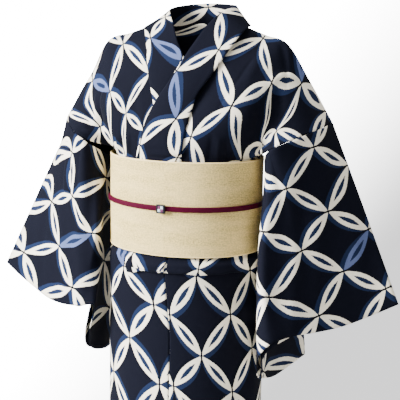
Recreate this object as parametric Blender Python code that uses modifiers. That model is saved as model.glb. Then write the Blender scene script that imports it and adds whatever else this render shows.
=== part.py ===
"""Cotton yukata in its worn, hollow form, with a linen obi, a silk obijime and an obidome.

Frame: metres, +Z up.  The origin is the middle of the neck base on the shoulder line,
the front faces -Y, and +X is the wearer's left.  Every cloth piece is a smooth sheet
through short tables of sections, given its wall by Solidify.
"""
import bpy
import numpy as np

for old in list(bpy.data.objects):
    bpy.data.objects.remove(old, do_unlink=True)

# ---- driving sizes -------------------------------------------------------------------
CLOTH_WALL = 0.0012
COLLAR_WALL = 0.0018
SEAM_GAP = 0.0004
LENGTH = 1.262            # shoulder line to hem
OBI_CENTRE_Y = -0.0227
LAP = 0.0050              # how far the left front stands outside the right one, bodice
SKIRT_LAP = 0.0030        # the same in the skirt
COLLAR_LIFT = 0.0023      # collar's middle above the panel it is sewn to
SLEEVE_DROP = 0.49
OBI_TOP = -0.240
OBI_BOTTOM = -0.402
OBI_HALF_WIDTH = 0.1385
OBI_HALF_DEPTH = 0.1126
OBI_WALL = 0.0030
BACK_FOLD_WALL = 0.0060
BACK_FOLD_HALF_WIDTH = 0.080
CORD_HEIGHT = -0.3190     # middle of the obijime
CORD_WIDTH = 0.0090
CORD_WALL = 0.0034
BEAD_SIZE = 0.0150
BEAD_DEPTH = 0.0050
BEAD_ANGLE = -1.2         # degrees round from the front
TUCK_TOP = -0.4150
TUCK_BOTTOM = -0.4290
SIDE_SEAM = 95.0          # degrees round from the front
OKUMI_SEAM = 5.0
OKUMI_EDGE = -72.0
UNDER_OKUMI_EDGE = 62.0


def table(columns, *rows):
    """A short table: each named column as an array."""
    return dict(zip(columns.split(), np.array(rows, float).T))


# Rings round the wearer, innermost layer of cloth, by height.
SKIRT_RINGS = table(
    "z half_width half_depth centre_y",
    (-1.290, 0.1280, 0.1060, -0.0150),
    (-1.000, 0.1355, 0.1130, -0.0130),
    (-0.850, 0.1395, 0.1165, -0.0120),
    (-0.700, 0.1410, 0.1180, -0.0120),
    (-0.550, 0.1400, 0.1165, -0.0130),
    (-0.480, 0.1385, 0.1145, -0.0160),
    (-0.430, 0.1368, 0.1115, -0.0215),
    (-0.415, 0.1350, 0.1092, -0.0227),
    (-0.404, 0.1285, 0.1035, -0.0227),
)
BODICE_RINGS = table(
    "z half_width half_depth centre_y",
    (-0.435, 0.1400, 0.1148, -0.0220),
    (-0.424, 0.1397, 0.1147, -0.0227),
    (-0.414, 0.1380, 0.1130, -0.0227),
    (-0.405, 0.1273, 0.1011, -0.0227),
    (-0.401, 0.1264, 0.1002, -0.0227),
    (-0.240, 0.1264, 0.1002, -0.0227),
)

# Bodice sections across a front, from the collar seam (c) past the neck side (n), the
# middle (m) and the armpit's hollow (s) to the armhole (a).  The first lies along the
# shoulder fold and the last along the top of the obi.
FRONT_SECTIONS = table(
    "cx cy cz  nx ny nz  mx my mz  sx sy sz  ax ay az",
    (.086, .028, -.017, .127, .022, -.032, .168, .014, -.047, .206, .024, -.108, .2463, .037, -.1790),
    (.064, -.058, -.073, .100, -.055, -.080, .143, -.047, -.090, .190, -.030, -.124, .2350, -.020, -.1850),
    (.032, -.099, -.136, .076, -.101, -.140, .126, -.092, -.145, .167, -.056, -.163, .2060, -.066, -.1975),
    (.018, -.119, -.190, .060, -.119, -.192, .106, -.103, -.196, .142, -.066, -.206, .1680, -.093, -.2150),
    (.016, -.1222, -.240, .0535, -.1135, -.240, .095, -.0888, -.240, .1180, -.0586, -.240, .1262, -.018, -.2400),
)
# The same across a back, from the neck and the centre seam to the armhole.
BACK_SECTIONS = table(
    "cx cy cz  nx ny nz  mx my mz  sx sy sz  ax ay az",
    (.086, .028, -.017, .127, .022, -.032, .168, .014, -.047, .206, .024, -.108, .2463, .037, -.1790),
    (.0495, .0825, -.020, .096, .066, -.050, .145, .054, -.075, .194, .052, -.120, .2380, .058, -.1855),
    (.0003, .0950, -.0225, .060, .096, -.090, .118, .086, -.115, .166, .072, -.152, .2070, .082, -.1985),
    (.0003, .092, -.150, .052, .088, -.160, .104, .073, -.175, .142, .052, -.194, .1680, .071, -.2150),
    (.0003, .0775, -.240, .052, .0686, -.240, .094, .0443, -.240, .1180, .0132, -.240, .1262, -.016, -.2400),
)
SECTION_LEVELS = (0.0, 1.0, 2.0, 3.0, 4.0)

# A sleeve's sections at its body end (b), middle (m) and cuff (c), by how far the cloth
# has dropped from the top fold, with x outward: the front layer, then the back layer
# down to where the two lie together.
LEFT_SLEEVE_FRONT = table(
    "drop  bx by bz  mx my mz  cx cy cz",
    (0.000, .2470, .037, -.1800, .3145, .018, -.3310, .3810, -.002, -.4810),
    (0.050, .2357, -.020, -.1860, .2834, -.028, -.3450, .3360, -.020, -.5020),
    (0.100, .2067, -.066, -.1985, .2480, -.062, -.3570, .2930, -.056, -.5150),
    (0.150, .1700, -.095, -.2165, .2130, -.095, -.3685, .2500, -.092, -.5200),
    (0.190, .1570, -.084, -.2290, .1850, -.121, -.3780, .2170, -.120, -.5220),
    (0.220, .1520, -.054, -.2400, .1680, -.130, -.3880, .1930, -.142, -.5300),
    (0.262, .1520, -.012, -.2560, .1540, -.094, -.4060, .1690, -.134, -.5620),
    (0.300, .1560, .022, -.2700, .1520, -.056, -.4240, .1610, -.100, -.6050),
    (0.350, .1640, .055, -.2880, .1560, -.006, -.4440, .1640, -.048, -.6280),
    (0.420, .1780, .090, -.3080, .1690, .060, -.4650, .1800, .030, -.6330),
    (0.490, .1960, .115, -.3220, .1890, .112, -.4760, .2040, .098, -.6300),
)
RIGHT_SLEEVE_FRONT = table(
    "drop  bx by bz  mx my mz  cx cy cz",
    (0.000, .2470, .037, -.1800, .3145, .018, -.3310, .3810, -.002, -.4830),
    (0.050, .2357, -.020, -.1860, .2790, -.020, -.3430, .3400, -.024, -.4985),
    (0.100, .2067, -.066, -.1985, .2420, -.050, -.3550, .2970, -.046, -.5120),
    (0.150, .1700, -.095, -.2165, .2030, -.076, -.3670, .2530, -.066, -.5250),
    (0.190, .1560, -.080, -.2290, .1700, -.092, -.3750, .2120, -.086, -.5250),
    (0.220, .1510, -.054, -.2400, .1440, -.092, -.3800, .1750, -.104, -.5185),
    (0.262, .1510, -.016, -.2560, .1500, -.052, -.3960, .1420, -.106, -.5150),
    (0.300, .1550, .016, -.2700, .1560, -.016, -.4150, .1590, -.090, -.5650),
    (0.350, .1630, .050, -.2880, .1600, .030, -.4400, .1720, -.062, -.6080),
    (0.420, .1780, .088, -.3080, .1700, .086, -.4620, .1700, -.005, -.6330),
    (0.490, .1960, .115, -.3220, .1880, .128, -.4740, .1760, .060, -.6400),
)
LEFT_SLEEVE_BACK = table(
    "drop  bx by bz  mx my mz  cx cy cz",
    (0.220, .1580, .052, -.2400, .1790, -.104, -.3880, .2020, -.124, -.5330),
    (0.190, .1600, .066, -.2270, .2000, -.056, -.3800, .2350, -.058, -.5260),
    (0.150, .1700, .073, -.2160, .2230, -.016, -.3700, .2780, -.006, -.5220),
    (0.100, .2077, .083, -.1995, .2560, .028, -.3580, .3200, .034, -.5120),
    (0.050, .2387, .059, -.1865, .2900, .044, -.3440, .3570, .036, -.4980),
)
RIGHT_SLEEVE_BACK = table(
    "drop  bx by bz  mx my mz  cx cy cz",
    (0.220, .1580, .052, -.2400, .1620, -.074, -.3825, .1860, -.086, -.5260),
    (0.190, .1600, .066, -.2270, .1880, -.048, -.3780, .2240, -.055, -.5270),
    (0.150, .1700, .073, -.2160, .2200, -.010, -.3690, .2680, -.014, -.5240),
    (0.100, .2077, .083, -.1995, .2560, .028, -.3580, .3140, .024, -.5120),
    (0.050, .2387, .059, -.1865, .2900, .044, -.3440, .3550, .028, -.4985),
)
LAYER_LIFT = (0.0085, 0.0010, 0.0020)     # back layer off the front one below the cuff

# The collar: its seam (s) and its folded edge (e), from above the obi on the left front
# round the neck and down under the left front.
COLLAR_BODICE = table(
    "sx sy sz  ex ey ez",
    (.0290, -.1315, -.224, -.0470, -.1300, -.212),
    (.0320, -.1265, -.192, -.0380, -.1235, -.174),
    (.0390, -.1170, -.158, -.0220, -.1160, -.139),
    (.0460, -.1075, -.130, -.0070, -.1040, -.112),
    (.0590, -.0915, -.106, .0050, -.0885, -.086),
    (.0740, -.0655, -.074, .0170, -.0580, -.053),
    (.0910, -.0250, -.035, .0340, -.0160, -.014),
    (.0970, .0120, -.019, .0520, .0150, .009),
    (.0900, .0500, -.016, .0640, .0500, .018),
    (.0520, .0880, -.020, .0420, .0780, .022),
    (.0000, .1010, -.024, .0000, .0880, .024),
    (-.0520, .0880, -.020, -.0420, .0780, .020),
    (-.0900, .0480, -.016, -.0590, .0480, .012),
    (-.0930, .0080, -.021, -.0470, .0140, .001),
    (-.0830, -.0180, -.030, -.0300, -.0160, -.018),
    (-.0650, -.0540, -.060, -.0120, -.0450, -.044),
    (-.0560, -.0740, -.082, .0060, -.0650, -.068),
    (-.0450, -.0930, -.108, .0170, -.0760, -.090),
    (-.0340, -.1060, -.136, .0260, -.0860, -.115),
    (-.0240, -.1174, -.170, .0340, -.0980, -.155),
    (-.0200, -.1236, -.210, .0420, -.1085, -.205),
)
# Round the obi the collar is given by angles: its seam and its folded edge.
COLLAR_LEFT_DOWN = table(
    "z seam edge out",
    (-0.4260, 1.5, -28.0, 0.0000),
    (-0.4140, 2.0, -28.0, 0.0008),
    (-0.4040, 2.5, -27.5, 0.0007),
    (-0.3900, 3.0, -27.0, 0.0000),
    (-0.3300, 7.0, -26.0, 0.0000),
    (-0.2440, 11.5, -25.0, 0.0000),
)
COLLAR_RIGHT_DOWN = table(
    "z seam edge out",
    (-0.2440, -9.0, 22.0, 0.0000),
    (-0.3300, -7.0, 24.0, 0.0000),
    (-0.3900, -5.0, 25.0, 0.0000),
)
LEFT_OKUMI_TOP = -26.0    # okumi's hidden top edges under the obi, degrees
RIGHT_OKUMI_TOP = 20.0
SEAM_ANGLE = 0.16         # gap at a seam round the body, degrees
BACK_SEAM = 179.93
COLLAR_CROWN = 0.0040     # how far the folded collar stands up along its middle


# ---- curves and rings ------------------------------------------------------------------
def smooth(knots, rows, at):
    """Cubic curve through the rows at the knots, each slope the blend of its neighbours'."""
    knots = np.asarray(knots, float)
    rows = np.asarray(rows, float)
    gaps = np.diff(knots)[:, None]
    slopes = np.diff(rows, axis=0) / gaps
    inner = (slopes[1:] * gaps[:-1] + slopes[:-1] * gaps[1:]) / (gaps[1:] + gaps[:-1])
    tangents = np.vstack([slopes[:1], inner, slopes[-1:]])
    i = np.clip(np.searchsorted(knots, at, side="right") - 1, 0, len(gaps) - 1)
    t = ((np.asarray(at) - knots[i]) / gaps[i, 0])[:, None]
    h = gaps[i]
    return ((1 + 2 * t) * (1 - t) ** 2 * rows[i] + t * (1 - t) ** 2 * h * tangents[i]
            + t ** 2 * (3 - 2 * t) * rows[i + 1] + t ** 2 * (t - 1) * h * tangents[i + 1])


def ease(x):
    """0 to 1, soft at both ends."""
    x = np.clip(x, 0, 1)
    return x * x * (3 - 2 * x)


def ring_size(rings, z):
    """Half width, half depth and centre of the ring at a height."""
    return [np.interp(z, rings["z"], rings[k]) for k in ("half_width", "half_depth", "centre_y")]


def on_ring(rings, z, angle, out):
    """Points on the ring at height z, at angles in degrees from the front, moved out."""
    width, depth, centre = ring_size(rings, z)
    turn = np.radians(angle)
    x = (width + out) * np.sin(turn)
    y = centre - (depth + out) * np.cos(turn)
    return np.stack(np.broadcast_arrays(x, y, z), axis=-1)


def points(rows, first):
    """The three columns of a table whose names start with a letter, as points."""
    return np.stack([rows[first + axis] for axis in "xyz"], axis=-1)


# ---- meshes ----------------------------------------------------------------------------
collection = bpy.data.collections.new("yukata")
bpy.context.scene.collection.children.link(collection)


def finish(name, colour, roughness):
    """A plain Principled material."""
    material = bpy.data.materials.new(name)
    material.use_nodes = True
    shader = material.node_tree.nodes["Principled BSDF"]
    shader.inputs["Base Color"].default_value = (*colour, 1)
    shader.inputs["Roughness"].default_value = roughness
    shader.inputs["Metallic"].default_value = 0
    return material


def named(mesh, name, material):
    """An object of the mesh in the yukata's collection."""
    thing = bpy.data.objects.new(name, mesh)
    thing.data.materials.append(material)
    collection.objects.link(thing)
    return thing


def sheet(name, grid, material, wall, closed=False):
    """A sheet over a grid of points (rows, columns, 3), given its wall half on each side.

    A closed sheet joins its last column to its first one.
    """
    rows, columns = grid.shape[:2]
    index = np.arange(rows * columns).reshape(rows, columns)
    if closed:
        index = np.hstack([index, index[:, :1]])
    quads = np.stack([index[:-1, :-1], index[:-1, 1:], index[1:, 1:], index[1:, :-1]], -1)
    mesh = bpy.data.meshes.new(name)
    mesh.from_pydata(grid.reshape(-1, 3).tolist(), [], quads.reshape(-1, 4).tolist())
    mesh.shade_smooth()
    thing = named(mesh, name, material)
    solidify = thing.modifiers.new("wall", "SOLIDIFY")
    solidify.thickness = wall
    solidify.offset = 0
    solidify.use_even_offset = False
    return thing


# ---- body pieces -----------------------------------------------------------------------
COLUMNS = np.linspace(0, 1, 9)
BODICE_LEVELS = np.array([0.4, 0.9, 1.4, 2.0, 2.5, 3.0, 3.4, 3.8])
SKIRT_HEIGHTS = np.array([-1.10, -0.95, -0.80, -0.66, -0.54, -0.465, -0.428])
WAIST_HEIGHTS = np.array([-0.398, -0.345, -0.290, -0.243])


def hem_height(angle):
    """The hem rises a little toward the wearer's right edge of the left front."""
    return -LENGTH + 0.030 * ease((-angle - 10) / 60)


def bodice(sections, level):
    """One section of the bodice, between the tables' rows."""
    corners = np.stack([points(sections, c) for c in "cnmsa"], axis=1)
    row = smooth(SECTION_LEVELS, corners.reshape(5, -1), [level]).reshape(5, 3)
    return smooth(np.linspace(0, 1, 5), row, COLUMNS)


def tuck_rows(angles, skirt_out, bodice_out, fold):
    """The tuck below the obi, as a path up from the skirt.

    fold is 1 where the cloth doubles back into the tuck and 0 where it runs straight up.
    """
    path = table(
        "z_fold out_fold z_plain out_plain",
        (TUCK_TOP - .0030, 0.0, TUCK_TOP - .0030, 0.0),
        (TUCK_TOP, 0.5, TUCK_TOP - .0010, 0.1),
        (TUCK_TOP - .0030, 1.0, TUCK_TOP + .0010, 0.2),
        (TUCK_BOTTOM + .0030, 1.0, TUCK_TOP + .0030, 0.3),
        (TUCK_BOTTOM, 1.5, TUCK_TOP + .0050, 0.4),
        (TUCK_BOTTOM + .0030, 2.0, TUCK_TOP + .0070, 0.6),
        (TUCK_TOP, 2.0, TUCK_TOP + .0090, 0.9),
        (TUCK_TOP + .0100, 2.0, TUCK_TOP + .0110, 2.0),
    )
    rows = []
    for z_fold, out_fold, z_plain, out_plain in zip(*path.values()):
        z = z_plain + (z_fold - z_plain) * fold
        share = (out_plain + (out_fold - out_plain) * fold) / 2
        inner = on_ring(SKIRT_RINGS, z, angles, skirt_out)
        outer = on_ring(BODICE_RINGS, z, angles, bodice_out)
        rows.append(inner + (outer - inner) * np.broadcast_to(share, angles.shape)[:, None])
    return rows


def lower_half(angles, skirt_out, bodice_out, fold):
    """Sections from the hem up to the top of the obi."""
    hem = hem_height(angles)
    rows = [on_ring(SKIRT_RINGS, hem, angles, skirt_out)]
    rows += [on_ring(SKIRT_RINGS, z, angles, skirt_out) for z in SKIRT_HEIGHTS]
    rows += tuck_rows(angles, skirt_out, bodice_out, fold)
    rows += [on_ring(BODICE_RINGS, z, angles, bodice_out) for z in WAIST_HEIGHTS]
    return rows


def body_piece(name, side, material):
    """One width of cloth from the front hem over the shoulder to the back hem."""
    left = side > 0
    front_angles = OKUMI_SEAM + (SIDE_SEAM - SEAM_ANGLE / 2 - OKUMI_SEAM) * COLUMNS
    back_angles = BACK_SEAM + (SIDE_SEAM + SEAM_ANGLE / 2 - BACK_SEAM) * COLUMNS
    rising = ease((back_angles - SIDE_SEAM) / 20)
    front_skirt = SKIRT_LAP if left else 0.0
    front_bodice = LAP if left else 0.0
    back_skirt = SKIRT_LAP if left else SKIRT_LAP * rising
    back_bodice = LAP if left else LAP * rising
    front = lower_half(front_angles * side, front_skirt, front_bodice, 1.0 if left else 0.0)
    back = lower_half(back_angles * side, back_skirt, back_bodice, 1.0 if left else rising)
    outward = np.array([side, 1, 1])
    for level in BODICE_LEVELS[::-1]:
        lap = front_bodice * ease((level - 1) / 3)
        front.append((bodice(FRONT_SECTIONS, level) - [0, lap, 0]) * outward)
    shoulder = bodice(FRONT_SECTIONS, 0.0) * outward
    for level in BODICE_LEVELS[::-1]:
        lap = (back_bodice * ease((level - 1) / 3)) * np.ones(len(COLUMNS))
        section = bodice(BACK_SECTIONS, level)
        section[:, 0] = np.maximum(section[:, 0], SEAM_GAP / 2)
        section[:, 1] += lap
        back.append(section * outward)
    grid = np.array(front + [shoulder] + back[::-1])
    return sheet(name, grid[:, ::-1] if left else grid, material, CLOTH_WALL)


def okumi(name, side, material):
    """The narrow front panel beside the front's okumi seam, from the obi to the hem."""
    columns = np.linspace(0, 1, 6)
    left = side > 0
    seam = (OKUMI_SEAM - SEAM_ANGLE) * side
    skirt_edge = OKUMI_EDGE if left else UNDER_OKUMI_EDGE
    upper_edge = LEFT_OKUMI_TOP if left else RIGHT_OKUMI_TOP
    lap = SKIRT_LAP if left else 0.0
    out = LAP if left else 0.0
    rows = []
    lower = seam + (skirt_edge - seam) * columns
    upper = seam + (upper_edge - seam) * columns
    rows.append(on_ring(SKIRT_RINGS, hem_height(lower), lower, lap))
    rows += [on_ring(SKIRT_RINGS, z, lower, lap) for z in SKIRT_HEIGHTS]
    shares = np.array([0.0, 0.1, 0.3, 0.5, 0.8, 1.0, 1.0, 1.0])
    folded = [tuck_rows(lower + (upper - lower) * s, lap, out, 1.0 if left else 0.0)[k]
              for k, s in enumerate(shares)]
    rows += folded
    rows += [on_ring(BODICE_RINGS, z, upper, out) for z in WAIST_HEIGHTS[:2]]
    grid = np.array(rows)
    return sheet(name, grid if left else grid[:, ::-1], material, CLOTH_WALL)


# ---- sleeves, collar -------------------------------------------------------------------
def sleeve_ring(front, back, along):
    """One section of a sleeve round both layers, at shares along it from body to cuff."""
    places = "bmc"
    drops = np.linspace(0, SLEEVE_DROP, 19)
    front_rows = np.hstack([points(front, place) for place in places])
    down = smooth(front["drop"], front_rows, drops)
    lift = np.tile(LAYER_LIFT, len(places))
    apart = front["drop"] > 0.23
    tail = front_rows[apart] + lift
    tail[-1] = front_rows[-1]
    back_rows = np.vstack([tail[::-1], np.hstack([points(back, place) for place in places]), front_rows[:1]])
    back_drops = np.concatenate([front["drop"][apart][::-1], back["drop"], [0.0]])
    up = smooth(SLEEVE_DROP - back_drops, back_rows, drops[1:-1])
    ring = np.vstack([down, up])
    return smooth([0.0, 0.5, 1.0], ring.reshape(len(ring), 3, 3).transpose(1, 0, 2).reshape(3, -1),
                  along).reshape(len(along), len(ring), 3)


def sleeve(name, side, material):
    """A folded width of cloth: a flat tube whose section runs down the front layer from
    the top fold to the bottom and up the back layer again."""
    front, back = ((LEFT_SLEEVE_FRONT, LEFT_SLEEVE_BACK) if side > 0
                   else (RIGHT_SLEEVE_FRONT, RIGHT_SLEEVE_BACK))
    grid = sleeve_ring(front, back, np.linspace(0, 1, 8)) * np.array([side, 1, 1])
    grid[:, :, 2] -= SEAM_GAP
    return sheet(name, grid if side < 0 else grid[:, ::-1], material, CLOTH_WALL, closed=True)


def collar(name, material):
    """A folded band: sections from its seam to its folded edge, along its whole length."""
    across = np.linspace(0, 1, 5)
    left, right = [[on_ring(BODICE_RINGS, z, seam + (edge - seam) * across, lift + out)
                    for z, seam, edge, out in zip(*rows.values())]
                   for rows, lift in ((COLLAR_LEFT_DOWN, LAP + COLLAR_LIFT), (COLLAR_RIGHT_DOWN, COLLAR_LIFT))]
    seam = points(COLLAR_BODICE, "s")[:, None]
    edge = points(COLLAR_BODICE, "e")[:, None]
    share = across[None, :, None]
    neck = seam + (edge - seam) * share
    crown = 4 * share * (1 - share) * COLLAR_CROWN * ease((-0.03 - neck[..., 2:]) / 0.10)
    neck = neck - crown * np.array([0, 1, 0])
    rows = np.concatenate([left, neck, right])
    steps = np.linspace(0, len(rows) - 1, 2 * len(rows) - 1)
    grid = smooth(np.arange(len(rows)), rows.reshape(len(rows), -1), steps).reshape(len(steps), -1, 3)
    return sheet(name, grid[:, ::-1], material, COLLAR_WALL)


# ---- obi, cord and bead ----------------------------------------------------------------
def belt(heights, lift, count):
    """A closed band on the obi's outer face, moved out by lift, at the heights."""
    angles = np.linspace(0, 2 * np.pi, count, endpoint=False)[None, :]
    far = lift(angles) if callable(lift) else lift
    x = (OBI_HALF_WIDTH + far) * np.sin(angles)
    y = OBI_CENTRE_Y - (OBI_HALF_DEPTH + far) * np.cos(angles)
    return np.stack(np.broadcast_arrays(x, y, np.asarray(heights)[:, None]), axis=-1)


def obi_band(name, material):
    """The band round the waist, a ring of its own height."""
    grid = belt(np.linspace(OBI_TOP, OBI_BOTTOM, 3), -OBI_WALL / 2, 48)
    return sheet(name, grid, material, OBI_WALL, closed=True)


def obi_fold(name, material):
    """The obi's end folded flat against its back, held under the cord."""
    lift = BACK_FOLD_WALL / 2 + 0.0006
    heights = np.linspace(OBI_TOP - 0.004, OBI_BOTTOM + 0.004, 5)[:, None]
    across = np.linspace(-1, 1, 9)[None, :]
    turn = np.arcsin(across * BACK_FOLD_HALF_WIDTH / (OBI_HALF_WIDTH + lift))
    x = (OBI_HALF_WIDTH + lift) * np.sin(turn)
    y = OBI_CENTRE_Y + (OBI_HALF_DEPTH + lift) * np.cos(turn)
    grid = np.stack(np.broadcast_arrays(x, y, heights), axis=-1)
    return sheet(name, grid[::-1], material, BACK_FOLD_WALL)


def waist_cord(name, material):
    """The obijime: a flat braid round the obi at mid height, over the fold behind."""
    def lift(angles):
        behind = ease((-np.cos(angles) - 0.55) / 0.22)
        return CORD_WALL / 2 + 0.0006 + behind * (BACK_FOLD_WALL + 0.0012)
    heights = CORD_HEIGHT + np.array([0.5, -0.5]) * CORD_WIDTH
    return sheet(name, belt(heights, lift, 56), material, CORD_WALL, closed=True)


def bead(name, material):
    """The obidome: a small square block threaded on the cord at the front."""
    bpy.ops.mesh.primitive_cube_add(size=1)
    thing = bpy.context.object
    thing.name = name
    thing.data.name = name
    angle = np.radians(BEAD_ANGLE)
    out = 0.0006 + CORD_WALL + 0.0004 + BEAD_DEPTH / 2
    thing.location = ((OBI_HALF_WIDTH + out) * np.sin(angle),
                      OBI_CENTRE_Y - (OBI_HALF_DEPTH + out) * np.cos(angle), CORD_HEIGHT)
    thing.rotation_euler = (0, 0, angle)
    thing.scale = (BEAD_SIZE, BEAD_DEPTH, BEAD_SIZE)
    bpy.ops.object.transform_apply(location=False, rotation=False, scale=True)
    bevel = thing.modifiers.new("edges", "BEVEL")
    bevel.width = 0.0012
    bevel.segments = 2
    for other in thing.users_collection:
        other.objects.unlink(thing)
    collection.objects.link(thing)
    thing.data.materials.append(material)
    return thing


indigo = finish("indigo_cotton", (0.020, 0.022, 0.045), 0.85)
linen = finish("natural_linen", (0.75, 0.66, 0.46), 0.80)
silk = finish("plum_silk", (0.26, 0.01, 0.07), 0.55)
metal = finish("dark_metal", (0.10, 0.11, 0.14), 0.35)

body_piece("body_left", 1, indigo)
body_piece("body_right", -1, indigo)
okumi("okumi_left", 1, indigo)
okumi("okumi_right", -1, indigo)
sleeve("sleeve_left", 1, indigo)
sleeve("sleeve_right", -1, indigo)
collar("collar", indigo)
obi_band("obi_band", linen)
obi_fold("obi_back_fold", linen)
waist_cord("obijime", silk)
bead("obidome", metal)
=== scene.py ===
import bpy
import numpy as np
from mathutils import Matrix, Vector
from mathutils.bvhtree import BVHTree


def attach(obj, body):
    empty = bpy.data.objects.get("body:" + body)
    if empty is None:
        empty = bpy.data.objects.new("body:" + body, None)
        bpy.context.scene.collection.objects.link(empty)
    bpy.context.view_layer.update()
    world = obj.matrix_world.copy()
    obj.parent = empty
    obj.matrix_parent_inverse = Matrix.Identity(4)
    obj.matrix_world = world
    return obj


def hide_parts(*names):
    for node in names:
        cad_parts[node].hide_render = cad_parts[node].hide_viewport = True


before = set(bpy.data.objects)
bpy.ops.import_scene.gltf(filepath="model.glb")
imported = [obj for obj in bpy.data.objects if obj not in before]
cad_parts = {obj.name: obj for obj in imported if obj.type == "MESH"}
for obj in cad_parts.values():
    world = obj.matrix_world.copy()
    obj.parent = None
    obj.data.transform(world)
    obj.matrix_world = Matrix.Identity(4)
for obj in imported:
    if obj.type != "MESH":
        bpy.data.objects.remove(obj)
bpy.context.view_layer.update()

# ---- driving sizes, in metres and degrees ------------------------------------------------
CLOTH_WALL = 0.0011
COLLAR_WALL = 0.0018
SEAM_GAP = 0.0004
LENGTH = 1.262
LAP = 0.0050
SKIRT_LAP = 0.0030
COLLAR_LIFT = 0.0023
SLEEVE_DROP = 0.49
OBI_CENTRE_Y = -0.0227
OBI_TOP = -0.240
OBI_BOTTOM = -0.402
OBI_HALF_WIDTH = 0.1385
OBI_HALF_DEPTH = 0.1126
OBI_WALL = 0.0030
EDGE_ROLL = 0.0007
BACK_FOLD_WALL = 0.0060
BACK_FOLD_HALF_WIDTH = 0.080
CORD_HEIGHT = -0.3190
CORD_WIDTH = 0.0090
CORD_WALL = 0.0034
BEAD_SIZE = 0.0150
BEAD_DEPTH = 0.0050
BEAD_ANGLE = -1.2
TUCK_TOP = -0.4150
TUCK_BOTTOM = -0.4290
SIDE_SEAM = 95.0
OKUMI_SEAM = 5.0
OKUMI_EDGE = -72.0
UNDER_OKUMI_EDGE = 62.0
LEFT_OKUMI_TOP = -26.0
RIGHT_OKUMI_TOP = 20.0
SEAM_ANGLE = 0.16
SEAM_LEAN = -3.6
TUCK_LEAN = -1.5
TUCK_DROOP = 0.0105         # how far the tuck's lower edge sinks toward its end
TUCK_END = -31.0           # where the left front's tuck ends, beside the wearer's right
BACK_SEAM = 179.93
COLLAR_CROWN = 0.0040
COLLAR_ROLL = 0.0009
WEFT_STEP = 0.0545        # half of the print's repeat across the cloth
WARP_STEP = 0.0690        # and along it
BACK_SETTLES = 0.22       # the print runs true this far down the back
HEM_RISE = 0.030
OBI_GAP = 0.0006          # between the obi and what lies on it
CORD_GAP = 0.0012         # more of it where the cord crosses the back fold
CLASP_GAP = 0.0004        # between the cord and the clasp
PLATE_EASE = 0.0001       # how far the print may miss its nodes
FOLD_PASSES = 6           # how often the folds are found again on the folded shape
INSIDE_REACH = 0.020      # how far round its nodes the left sleeve's inside follows them

# ---- the camera's place, in metres and degrees, and its square frame --------------------------
PITCH, AZIMUTH, ROLL = np.radians([10.75, 18.2, 1.05])
DISTANCE = 1.581          # from the camera to its target
TARGET_HEIGHT = -0.328
TARGET_ASIDE = 0.018      # how far the target lies right of the robe's middle
FRAME = 400               # the frame's side, in its own units, counted from its top left
FRAME_PER_METRE = 550     # at the target
SENSOR = 36               # its width, in millimetres
FOCAL = FRAME_PER_METRE * DISTANCE
AHEAD = np.array([-np.sin(AZIMUTH) * np.cos(PITCH), np.cos(AZIMUTH) * np.cos(PITCH), -np.sin(PITCH)])
LEVEL = np.array([np.cos(AZIMUTH), np.sin(AZIMUTH), 0])
UPRIGHT = np.cross(LEVEL, AHEAD)
CAMERA_PLACE = np.array([0, 0, TARGET_HEIGHT]) + LEVEL * TARGET_ASIDE - AHEAD * DISTANCE
CAMERA_RIGHT = LEVEL * np.cos(ROLL) + UPRIGHT * np.sin(ROLL)
CAMERA_UP = -LEVEL * np.sin(ROLL) + UPRIGHT * np.cos(ROLL)


def table(columns, *rows):
    """A short table: each named column as an array."""
    return dict(zip(columns.split(), np.array(rows, float).T))


SKIRT_RINGS = table(
    "z half_width half_depth centre_y",
    (-1.290, 0.1280, 0.1060, -0.0150),
    (-1.000, 0.1355, 0.1130, -0.0130),
    (-0.850, 0.1395, 0.1165, -0.0120),
    (-0.700, 0.1410, 0.1180, -0.0120),
    (-0.550, 0.1400, 0.1165, -0.0130),
    (-0.480, 0.1385, 0.1145, -0.0160),
    (-0.430, 0.1368, 0.1115, -0.0215),
    (-0.415, 0.1350, 0.1092, -0.0227),
    (-0.404, 0.1285, 0.1035, -0.0227),
)
BODICE_RINGS = table(
    "z half_width half_depth centre_y",
    (-0.435, 0.1400, 0.1148, -0.0220),
    (-0.424, 0.1397, 0.1147, -0.0227),
    (-0.414, 0.1380, 0.1130, -0.0227),
    (-0.405, 0.1273, 0.1011, -0.0227),
    (-0.401, 0.1264, 0.1002, -0.0227),
    (-0.240, 0.1264, 0.1002, -0.0227),
)
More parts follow.
